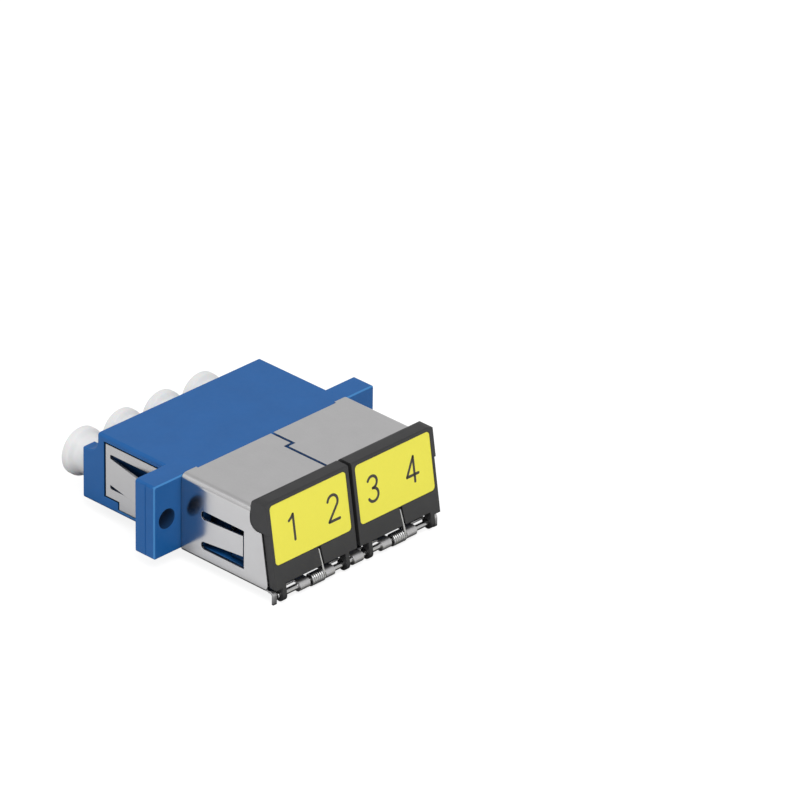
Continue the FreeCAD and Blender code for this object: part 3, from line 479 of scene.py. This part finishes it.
def bright_steel(name, colours, rough):
    """Drawn or turned steel with fine rings round its axis."""
    f = Finish(name)
    rings = f.noise(0.00006, 2.0, stretch=(1, 0.3, 0.3))
    colour = f.mix(rings.between(0.3, 0.7), shade_of(colours.wire, 0.88), shade_of(colours.wire, 1.08))
    return f.shade(Base_Color=colour, Metallic=1.0, Roughness=rough + f.noise(0.0003) * 0.08,
                   relief=rings, relief_depth=0.0000010)


def ceramic(colours):
    """Ground ceramic with a faint speckle."""
    f = Finish("zirconia")
    speck = f.noise(0.00008, 2.0).between(0.3, 0.7)
    colour = f.mix(speck, shade_of(colours.ceramic, 0.96), shade_of(colours.ceramic, 1.03))
    return f.shade(Base_Color=colour, Roughness=0.22 + speck * 0.06, IOR=1.9)


def label_film(colours):
    """Printed film: even ink with a faint fibre, under a thin satin varnish."""
    f = Finish("yellow_label")
    fibre = f.noise(0.00015, 3.0, stretch=(1, 1, 0.4))
    colour = f.mix(fibre.between(0.3, 0.7), shade_of(colours.label, 0.988), shade_of(colours.label, 1.01))
    return f.shade(Base_Color=colour, Roughness=0.42 + f.noise(0.001) * 0.08, IOR=1.45,
                   relief=fibre, relief_depth=0.0000006, edge=f.soft_edge(0.00004))


def ink_print(colours):
    """Dark ink, a little uneven in its cover."""
    f = Finish("label_ink")
    cover = f.noise(0.00012, 3.0).between(0.25, 0.75)
    colour = f.mix(cover, shade_of(colours.ink, 0.85), shade_of(colours.ink, 1.3))
    return f.shade(Base_Color=colour, Roughness=0.5 + cover * 0.06)


# Meshes worked out on grids

def mesh_object(name, points, closed_across, sharp_angle=35.0):
    """Skin a grid of points, rows along the first index, joined round the second where it is closed.

    Equal points, as at a pole, become one, and all faces are turned outwards.
    """
    rows, columns = points.shape[:2]
    index = np.arange(rows * columns).reshape(rows, columns)
    if closed_across:
        index = np.hstack([index, index[:, :1]])
    faces = np.stack([index[:-1, :-1], index[:-1, 1:], index[1:, 1:], index[1:, :-1]], axis=-1).reshape(-1, 4)
    mesh = bpy.data.meshes.new(name)
    mesh.from_pydata(points.reshape(-1, 3), [], faces.tolist())
    return finish_mesh(name, mesh, sharp_angle)


def finish_mesh(name, mesh, sharp_angle):
    """Merge equal points, turn the faces outwards and shade smoothly up to an angle."""
    work = bmesh.new()
    work.from_mesh(mesh)
    bmesh.ops.remove_doubles(work, verts=work.verts, dist=2e-7)
    bmesh.ops.dissolve_degenerate(work, edges=work.edges, dist=1e-7)
    bmesh.ops.recalc_face_normals(work, faces=work.faces)
    work.to_mesh(mesh)
    work.free()
    mesh.polygons.foreach_set("use_smooth", np.ones(len(mesh.polygons), bool))
    mesh.set_sharp_from_angle(angle=math.radians(sharp_angle))
    piece = bpy.data.objects.new(name, mesh)
    bpy.context.scene.collection.objects.link(piece)
    return piece


def rounded_profile(corners, steps=6):
    """Line through corners (across, along, radius), each turned by an arc of its radius.

    The arc's centre lies on the corner's bisector, at radius / sin(half the angle) from the corner,
    and it touches both lines at radius / tan(half the angle) from it.
    """
    places = np.array([c[:2] for c in corners], float)
    line = [places[:1]]
    for before, (across, along, radius), after in zip(places, corners[1:-1], places[2:]):
        corner = np.array([across, along])
        back = (before - corner) / np.linalg.norm(before - corner)
        ahead = (after - corner) / np.linalg.norm(after - corner)
        half = math.acos(np.clip(back @ ahead, -1, 1)) / 2
        if radius == 0:
            line.append(corner[None])
            continue
        centre = corner + (back + ahead) / np.linalg.norm(back + ahead) * radius / math.sin(half)
        first = corner + back * radius / math.tan(half) - centre
        last = corner + ahead * radius / math.tan(half) - centre
        turn = math.atan2(first[0] * last[1] - first[1] * last[0], first @ last)
        angles = np.linspace(0, turn, steps + 1)
        line.append(centre + np.stack([first[0] * np.cos(angles) - first[1] * np.sin(angles),
                                       first[0] * np.sin(angles) + first[1] * np.cos(angles)], axis=1))
    line.append(places[-1:])
    return np.vstack(line)


def turned(name, corners, centre, axis, segments=96):
    """Surface of revolution: each profile point goes round the axis at its distance across."""
    profile = rounded_profile(corners)
    angle = np.linspace(0, 2 * math.pi, segments, endpoint=False)
    across, along = profile[:, :1], np.repeat(profile[:, 1:], segments, axis=1)
    first, second = across * np.cos(angle), across * np.sin(angle)
    order = {"X": (along, first, second), "Y": (first, along, second)}[axis]
    return mesh_object(name, np.stack(order, axis=-1) + np.array(centre), True)


def round_ended(path, half, steps):
    """Centres, directions and half widths along a path that ends in half circles.

    In a cap the half width falls as the cosine of an angle whose sine moves the centre on.
    """
    along = np.gradient(path, axis=0)
    along /= np.linalg.norm(along, axis=1, keepdims=True)
    cap = np.linspace(math.pi / 2, 0, steps, endpoint=False)[:, None]
    start = path[:1] - along[:1] * np.sin(cap) * half
    end = path[-1:] + along[-1:] * np.sin(cap[::-1]) * half
    directions = np.vstack([np.repeat(along[:1], steps, 0), along, np.repeat(along[-1:], steps, 0)])
    widths = np.vstack([np.cos(cap), np.ones((len(path), 1)), np.cos(cap[::-1])]) * half
    return np.vstack([start, path, end]), directions, widths


def tube(name, path, radius, sides=16, cap_steps=4):
    """Round wire along a path: a circle across each point's direction, closed by half spheres.

    The circle's first arm is the X axis less its part along the path, its second is their cross product.
    """
    centres, along, size = round_ended(path, radius, cap_steps)
    side = ACROSS - along[:, :1] * along
    side /= np.linalg.norm(side, axis=1, keepdims=True)
    front = np.cross(along, side)
    angle = np.linspace(0, 2 * math.pi, sides, endpoint=False)[None, :, None]
    ring = side[:, None] * np.cos(angle) + front[:, None] * np.sin(angle)
    return mesh_object(name, centres[:, None] + ring * size[:, None], True, 60.0)


def read(items, field, width=1, kind="f"):
    """One field of a mesh's points, corners or faces as an array, of kind f for measures or i for counts."""
    values = np.empty(len(items) * width, kind)
    items.foreach_get(field, values)
    return values.astype(float).reshape(-1, width) if width > 1 else values


def smoothed_copy(node, name, reshape=None, angle=30.0):
    """Copy of a solid's mesh: points merged and moved by reshape, flats joined, curves shaded smoothly."""
    mesh = frame["nodes"][node].data.copy()
    mesh.name = name
    piece = finish_mesh(name, mesh, angle)
    if reshape is not None:
        mesh.vertices.foreach_set("co", reshape(read(mesh.vertices, "co", 3)).astype("f").ravel())
        mesh.update()
    shade_flats(mesh, math.radians(angle))
    return piece


def at(values, place):
    """True where a coordinate is at a place."""
    return np.abs(values - place) < TOLERANCE


def opened_recess(points, gap):
    """Housing points, with the edges of the clip's recess moved off the clip: up, to the plug end, down.

    Points of the recess are known by their place; all points of one edge move by the same step.
    """
    x, y, z = points.T
    wall = np.abs(x) > RECESS_WALL_X - 0.0001
    moved = points.copy()
    moved[wall & at(z, RECESS_TOP_Z), 2] += gap
    moved[wall & at(y, RECESS_REAR_Y), 1] += 2 * gap
    moved[at(y, STRAP_EDGE_Y) & (z < RECESS_BOTTOM_Z + TOLERANCE), 1] += gap
    moved[wall & at(z, RECESS_BOTTOM_Z) & (y > STRAP_EDGE_Y - TOLERANCE), 2] -= gap
    return moved


def softened_cage(points, bend):
    """Cage points, with rounder top bends and taller side slots.

    In section a bend's point keeps its angle about the bend's centre; the centre moves in along both
    sheets by the growth of the radius, and the point's distance from it grows as much. A slot's points
    keep their share of its height while the height grows away from the tongue's edge.
    """
    _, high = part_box("shutter_cage")
    corner = np.array([high.x, high.z])
    arm = np.stack([np.abs(points[:, 0]), points[:, 2]], axis=1) - (corner - SOLID_CAGE_BEND)
    on_bend = (arm > -TOLERANCE / 2).all(axis=1)
    angle = np.arctan2(arm[:, 1], arm[:, 0])
    reach = np.hypot(arm[:, 0], arm[:, 1]) + bend - SOLID_CAGE_BEND
    place = corner - bend + np.stack([np.cos(angle), np.sin(angle)], axis=1) * reach[:, None]
    moved = points.copy()
    moved[on_bend, 0] = (np.sign(points[:, 0]) * place[:, 0])[on_bend]
    moved[on_bend, 2] = place[on_bend, 1]
    x, y, z = points.T
    on_side = (np.abs(x) > high.x - CAGE_SHEET - TOLERANCE) & (np.abs(y - SLOT_MIDDLE_Y) < SLOT_HALF_LENGTH)
    for middle, tongue_edge, growth in CAGE_SLOTS:
        slot = on_side & (np.abs(z - middle) < SLOT_HALF_HEIGHT)
        moved[slot, 2] = tongue_edge + (z[slot] - tongue_edge) * growth
    return moved


def shade_flats(mesh, angle):
    """Corner normals: on a flat the flat's own, on a curve the mean of the faces round the point.

    Each corner adds up the normals of all faces round its point that are turned from its own face by less
    than the angle. A face counts with the square of the area of all faces in its plane, so where a curve
    runs out into a flat the corner takes the flat's normal, and the flat shades evenly.
    """
    normals, areas = read(mesh.polygons, "normal", 3), read(mesh.polygons, "area")
    point_of = read(mesh.loops, "vertex_index", kind="i")
    sides = read(mesh.polygons, "loop_total", kind="i")
    face_of = np.repeat(np.arange(len(sides)), sides)
    last_point = read(mesh.vertices, "co", 3)[point_of[np.cumsum(sides) - 1]]
    offset = np.einsum("ij,ij->i", normals, last_point)
    key = np.round(np.column_stack([normals / PLANE_TURN, offset / PLANE_STEP])).astype(int)
    _, plane = np.unique(key, axis=0, return_inverse=True)
    plane = plane.reshape(-1)
    weight = np.bincount(plane, weights=areas)[plane] ** 2

    order = np.argsort(point_of, kind="stable")
    faces = face_of[order]
    group_size = np.bincount(point_of)
    group_start = np.cumsum(group_size) - group_size
    partners = group_size[point_of[order]]
    this = np.repeat(np.arange(len(order)), partners)
    step = np.arange(len(this)) - np.repeat(np.cumsum(partners) - partners, partners)
    other = np.repeat(group_start[point_of[order]], partners) + step
    turned_little = np.einsum("ij,ij->i", normals[faces[this]], normals[faces[other]]) > math.cos(angle)
    share = turned_little * weight[faces[other]]
    result = np.empty((len(order), 3))
    result[order] = np.stack([np.bincount(this, weights=share * normals[faces[other], axis])
                              for axis in range(3)], axis=1)
    result /= np.linalg.norm(result, axis=1, keepdims=True)
    mesh.normals_split_custom_set(result.tolist())


def dress(piece, material, body, slot, *nodes):
    """Give a piece its finish and its body, and let it stand for the solids that it covers."""
    piece.data.materials.clear()
    piece.data.materials.append(material)
    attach(piece, body)
    if nodes:
        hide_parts(*nodes)


def paint(node, material):
    """Give a solid that stays as it is its finish."""
    slots = frame["nodes"][node].data.materials
    slots.clear()
    slots.append(material)


def body_of(node):
    """Body of the record that a node moves with."""
    return next(name for name, nodes in frame["record"]["behaviour"]["bodies"].items() if node in nodes)


# Operators

class ADAPTER_OT_housings(bpy.types.Operator):
    """Blue housing halves"""
    bl_idname = "adapter.housings"
    bl_label = "Housing halves"

    def execute(self, context):
        material = blue_plastic(context.scene.adapter_colours)
        gap = context.scene.adapter_sizes.recess_gap
        for node, reshape in (("plug_side_housing", lambda points: opened_recess(points, gap)),
                              ("shutter_side_housing", None)):
            shell = smoothed_copy(node, node + "_shell", reshape)
            dress(shell, material, body_of(node), "blue_plastic", node)
        return {"FINISHED"}


class ADAPTER_OT_sheet_parts(bpy.types.Operator):
    """Folded cage and panel clip"""
    bl_idname = "adapter.sheet_parts"
    bl_label = "Cage and clip"

    def execute(self, context):
        colours, bend = context.scene.adapter_colours, context.scene.adapter_sizes.cage_bend
        for node, slot, tint, satin, polish, reshape in (
                ("shutter_cage", "cage_steel", 1.0, 0.34, 0.18, lambda points: softened_cage(points, bend)),
                ("panel_clip", "clip_steel", 0.82, 0.30, 0.26, None)):
            sheet = smoothed_copy(node, node + "_sheet", reshape)
            dress(sheet, sheet_steel(slot, colours, tint, satin, polish), body_of(node), slot, node)
        return {"FINISHED"}


class ADAPTER_OT_shutters(bpy.types.Operator):
    """Black shutter flaps"""
    bl_idname = "adapter.shutters"
    bl_label = "Shutters"

    def execute(self, context):
        material = black_plastic(context.scene.adapter_colours)
        for side in SHUTTERS:
            node = "shutter_flap_" + side
            dress(smoothed_copy(node, node + "_moulding"), material, body_of(node), "black_plastic", node)
        return {"FINISHED"}


class ADAPTER_OT_labels(bpy.types.Operator):
    """Yellow labels with the numbers of the ports behind them"""
    bl_idname = "adapter.labels"
    bl_label = "Labels"

    def execute(self, context):
        colours, sizes = context.scene.adapter_colours, context.scene.adapter_sizes
        film, ink = label_film(colours), ink_print(colours)
        for side, numbers in SHUTTERS.items():
            paint("label_" + side, film)
            for number in numbers:
                for part, stroke in enumerate(NUMERALS[number], 1):
                    line = np.vstack([self.arc(*s) if len(s) == 5 else np.array(s) for s in stroke])
                    name = "numeral_%d_stroke_%d" % (number, part)
                    piece = self.print_stroke(name, line, "label_" + side, PORTS[number], sizes)
                    dress(piece, ink, side + "_shutter", "yellow_label")
        return {"FINISHED"}

    @staticmethod
    def arc(across, up, radius, first, last, steps=28):
        """Points on a circle about (across, up), from the first angle to the last, in degrees."""
        angle = np.radians(np.linspace(first, last, steps))
        return np.stack([across + radius * np.cos(angle), up + radius * np.sin(angle)], axis=1)

    @staticmethod
    def print_stroke(name, line, node, middle, sizes):
        """Flat stroke of ink on a leaning label.

        The line is set off to both sides by half the stroke's width along its own normal, and has round
        ends. Its plane goes through the middle of the label's face, one arm along X and one up the lean.
        """
        low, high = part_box(node)
        rise = LABEL_THICKNESS * math.sin(LEAN)
        height = (high.z - low.z - rise) / math.cos(LEAN)
        centres, along, half = round_ended(line * sizes.numeral_height, sizes.numeral_stroke / 2, 5)
        side = np.stack([-along[:, 1], along[:, 0]], axis=1) * half
        flat = np.stack([centres - side, centres - side, centres + side, centres + side], axis=1)
        lift = np.array([-INK_BELOW, INK_ABOVE, INK_ABOVE, -INK_BELOW])[:, None]
        face = np.array([middle, low.y, low.z + rise]) + UP_THE_LEAN * height / 2
        points = face + flat[..., :1] * ACROSS + flat[..., 1:] * UP_THE_LEAN + lift * OUT_OF_THE_LEAN
        return mesh_object(name, points, True, 30.0)


class ADAPTER_OT_springs(bpy.types.Operator):
    """Torsion springs: a coil round the pin with one leg on the shutter and one under the cage"""
    bl_idname = "adapter.springs"
    bl_label = "Torsion springs"

    def execute(self, context):
        sizes = context.scene.adapter_sizes
        material = bright_steel("spring_steel", context.scene.adapter_colours, 0.30)
        radius = PIN_RADIUS + sizes.coil_gap + sizes.wire_diameter / 2
        outer = sizes.coil_start - sizes.wire_diameter / 2
        for side, x in (("left", sizes.coil_pitch * sizes.coil_turns - outer), ("right", outer)):
            coil = tube("spring_coil_" + side, self.coil_path(x, radius, sizes), sizes.wire_diameter / 2)
            dress(coil, material, "adapter_body", "spring_steel", "torsion_spring_" + side)
            leg = tube("spring_leg_" + side, self.leg_path(x, radius, sizes), sizes.wire_diameter / 2)
            dress(leg, material, side + "_shutter", "spring_steel")
        return {"FINISHED"}

    @staticmethod
    def coil_path(x, radius, sizes):
        """Circle about the pin that moves along it by one pitch a turn, then a straight tangent leg."""
        reach, height = sizes.rest_leg_reach, sizes.rest_leg_height
        end_angle = math.atan2(height, reach) - math.acos(radius / math.hypot(reach, height))
        start = math.pi - LEAN
        turned_by = np.linspace(0, 2 * math.pi * sizes.coil_turns + end_angle - start, 48 * sizes.coil_turns)
        angle = start + turned_by
        coil = np.stack([x - sizes.coil_pitch * turned_by / (2 * math.pi),
                         PIN_Y + radius * np.cos(angle), PIN_Z + radius * np.sin(angle)], axis=1)
        tip = np.array([coil[-1, 0], PIN_Y + reach, PIN_Z + height])
        share = np.linspace(0, 1, 9)[1:, None]
        return np.vstack([coil, coil[-1] * (1 - share) + tip * share])

    @staticmethod
    def leg_path(x, radius, sizes):
        """Straight line from the front of the coil into the shutter's groove, slanted a little sideways."""
        up = UP_THE_LEAN * math.cos(sizes.leg_lean) - ACROSS * math.sin(sizes.leg_lean)
        share = np.linspace(0, 1, 9)[:, None]
        base = np.array([x, PIN_Y, PIN_Z]) + OUT_OF_THE_LEAN * radius
        return base + (up * sizes.leg_length - OUT_OF_THE_LEAN * sizes.leg_sink) * share


class ADAPTER_OT_pin(bpy.types.Operator):
    """Hinge pin that both shutters turn on"""
    bl_idname = "adapter.pin"
    bl_label = "Hinge pin"

    def execute(self, context):
        round_off = context.scene.adapter_sizes.pin_end_round
        low, high = PIN_LOW.x, PIN_HIGH.x
        corners = [(0, low, 0), (PIN_RADIUS, low, round_off), (PIN_RADIUS, high, round_off), (0, high, 0)]
        pin = turned("hinge_pin_turned", corners, (0, PIN_Y, PIN_Z), "X", 64)
        dress(pin, bright_steel("pin_steel", context.scene.adapter_colours, 0.14), "adapter_body",
              "pin_steel", "hinge_pin")
        return {"FINISHED"}


class ADAPTER_OT_plugs(bpy.types.Operator):
    """Dust plugs turned about the fibre axes"""
    bl_idname = "adapter.plugs"
    bl_label = "Dust plugs"

    def execute(self, context):
        material = white_plastic(context.scene.adapter_colours)
        for number, x in PORTS.items():
            node = "dust_plug_%d" % number
            low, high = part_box(node)
            corners = self.profile(low.y, high.y, context.scene.adapter_sizes)
            plug = turned(node + "_turned", corners, (x, 0, PORT_Z), "Y", 128)
            dress(plug, material, "plug_%d" % number, "white_plastic", node)
        return {"FINISHED"}

    @staticmethod
    def profile(nose, face, sizes):
        """Corners from the bottom of the nose's hollow over the barrel and the head to the funnel's hole."""
        back = face - sizes.plug_head_length
        hollow, hole = nose + sizes.plug_nose_depth, face - sizes.plug_hole_depth
        return [(0, hollow, 0), (sizes.plug_nose_bore, hollow, 0), (sizes.plug_nose_bore, nose, 0.00012),
                (sizes.plug_barrel, nose, 0.00025), (sizes.plug_barrel, back - 0.0009, 0.0012),
                (sizes.plug_flare, back - 0.00035, 0.0007),
                (sizes.plug_head, back + 0.00015, sizes.plug_back_round),
                (sizes.plug_head, face, sizes.plug_head_round), (sizes.plug_barrel, face, 0.00018),
                (sizes.plug_throat, face - sizes.plug_funnel_depth, 0.0003),
                (sizes.plug_throat, hole, 0.0002), (0, hole, 0)]


class ADAPTER_OT_sleeves(bpy.types.Operator):
    """Split alignment sleeves inside the housing"""
    bl_idname = "adapter.sleeves"
    bl_label = "Alignment sleeves"

    def execute(self, context):
        material = ceramic(context.scene.adapter_colours)
        for number in PORTS:
            paint("alignment_sleeve_%d" % number, material)
        return {"FINISHED"}


class ADAPTER_OT_stage(bpy.types.Operator):
    """Floor, room light, softboxes and camera"""
    bl_idname = "adapter.stage"
    bl_label = "Stage"

    def execute(self, context):
        stage = context.scene.adapter_stage
        self.room(context.scene, stage)
        self.floor(stage)
        for name, share, place, side in SOFTBOXES:
            self.softbox(name, stage.key * share, place, side)
        self.camera(context.scene, stage)
        context.scene.view_settings.view_transform = "Standard"
        return {"FINISHED"}

    @staticmethod
    def room(scene, stage):
        """White room: full white behind the object, a plain level on it, a little less in metal."""
        scene.world = scene.world or bpy.data.worlds.new("Room")
        scene.world.use_nodes = True
        sheet = NodeSheet(scene.world.node_tree)
        camera = sheet.node("ShaderNodeLightPath", output="Is Camera Ray")
        gloss = sheet.node("ShaderNodeLightPath", output="Is Glossy Ray")
        height = sheet.node("ShaderNodeSeparateXYZ", None,
                            {0: sheet.node("ShaderNodeTexCoord", output="Generated")}, output=2)
        overhead = height.between(0.5, 0.8) * stage.sky_gloss * 0.30
        level = stage.sky + gloss * (stage.sky_gloss - overhead - stage.sky)
        strength = level + camera * (1 - level)
        light = sheet.node("ShaderNodeBackground", None, {"Color": (1, 1, 1, 1), "Strength": strength})
        sheet.node("ShaderNodeOutputWorld", None, {"Surface": light})

    @staticmethod
    def floor(stage):
        """Pale floor, white to the camera, keeping the object's soft shadow, with a painted shadow close
        under it.
        """
        half = 2.0
        grid = np.array([[(-half, -half), (-half, half)], [(half, -half), (half, half)]])
        points = np.concatenate([grid, np.full((2, 2, 1), stage.floor_z)], axis=-1)
        floor = mesh_object("floor", points, False)
        finish = Finish("pale_floor")
        camera = finish.node("ShaderNodeLightPath", output="Is Camera Ray")
        gloss = finish.node("ShaderNodeLightPath", output="Is Glossy Ray")
        low, high = SOLID_BOX
        x, y, _ = finish.split(finish.position(centre=((low.x + high.x) / 2, (low.y + high.y) / 2, 0)))
        half_wide, half_long = 0.0137, (high.y - low.y) / 2
        beside = abs(x).between(half_wide, half_wide + 0.0023)
        beyond = abs(y).between(half_long, half_long + 0.004)
        # Painted shadow: close under the adapter the floor is dark to bounced light and glows less in metal
        outside_painted_shadow = 1 - (1 - beside) * (1 - beyond)
        bounce_with_painted_shadow = finish.mix(outside_painted_shadow, (0.07, 0.07, 0.07, 1), (0.74, 0.74, 0.74, 1))
        pale = finish.mix(camera, bounce_with_painted_shadow, (0.30, 0.30, 0.30, 1))
        matt = finish.node("ShaderNodeBsdfDiffuse", None, {"Color": pale})
        glow = finish.node("ShaderNodeEmission", None, {"Strength": camera * 0.85 + gloss * outside_painted_shadow * 0.18})
        both = finish.node("ShaderNodeAddShader", None, {0: matt, 1: glow})
        finish.node("ShaderNodeOutputMaterial", None, {"Surface": both})
        floor.data.materials.append(finish.material)

    @staticmethod
    def softbox(name, power, place, size):
        """Square area light that faces the middle of the adapter."""
        light = bpy.data.lights.new(name, "AREA")
        light.energy, light.size = power, size
        lamp = bpy.data.objects.new(name, light)
        lamp.location = place
        lamp.rotation_euler = (-Vector(place)).to_track_quat("-Z", "Y").to_euler()
        bpy.context.scene.collection.objects.link(lamp)

    @staticmethod
    def camera(scene, stage):
        """Long lens at the photograph's angle: line of sight from azimuth and elevation, then the roll."""
        azimuth, elevation, roll = stage.azimuth, stage.elevation, stage.roll
        look = Vector((-math.sin(azimuth) * math.cos(elevation), math.cos(azimuth) * math.cos(elevation),
                       -math.sin(elevation)))
        level = Vector((math.cos(azimuth), math.sin(azimuth), 0))
        above = level.cross(look)
        right = level * math.cos(roll) - above * math.sin(roll)
        up = level * math.sin(roll) + above * math.cos(roll)
        data = bpy.data.cameras.new("Camera")
        data.lens, data.sensor_width = stage.lens, 36
        data.clip_start, data.clip_end = 0.01, 20
        camera = bpy.data.objects.new("Camera", data)
        turn = Matrix((right, up, -look)).transposed().to_4x4()
        camera.matrix_world = Matrix.Translation(Vector(stage.aim) - look * stage.distance) @ turn
        scene.collection.objects.link(camera)
        scene.camera = camera


class ADAPTER_PT_panel(bpy.types.Panel):
    """Settings and steps of the adapter"""
    bl_label = "LC fibre adapter"
    bl_idname = "ADAPTER_PT_panel"
    bl_space_type = "VIEW_3D"
    bl_region_type = "UI"
    bl_category = "Fibre adapter"

    def draw(self, context):
        scene = context.scene
        for group in (scene.adapter_sizes, scene.adapter_colours, scene.adapter_stage):
            box = self.layout.box()
            for name in group.bl_rna.properties.keys():
                if name not in ("rna_type", "name"):
                    box.prop(group, name)
        for step in STEPS:
            self.layout.operator(step.bl_idname)


GROUPS = {"adapter_sizes": AdapterSizes, "adapter_colours": AdapterColours, "adapter_stage": AdapterStage}
STEPS = (ADAPTER_OT_housings, ADAPTER_OT_sheet_parts, ADAPTER_OT_shutters, ADAPTER_OT_labels,
         ADAPTER_OT_springs, ADAPTER_OT_pin, ADAPTER_OT_plugs, ADAPTER_OT_sleeves, ADAPTER_OT_stage)


def register():
    for cls in (*GROUPS.values(), *STEPS, ADAPTER_PT_panel):
        bpy.utils.register_class(cls)
    for name, group in GROUPS.items():
        setattr(bpy.types.Scene, name, bpy.props.PointerProperty(type=group))


def unregister():
    for name in GROUPS:
        delattr(bpy.types.Scene, name)
    for cls in (ADAPTER_PT_panel, *reversed(STEPS), *reversed(list(GROUPS.values()))):
        bpy.utils.unregister_class(cls)


def main():
    """Register and run every step in order."""
    register()
    for step in STEPS:
        getattr(bpy.ops.adapter, step.bl_idname.split(".")[1])()


if __name__ == "__main__":
    main()
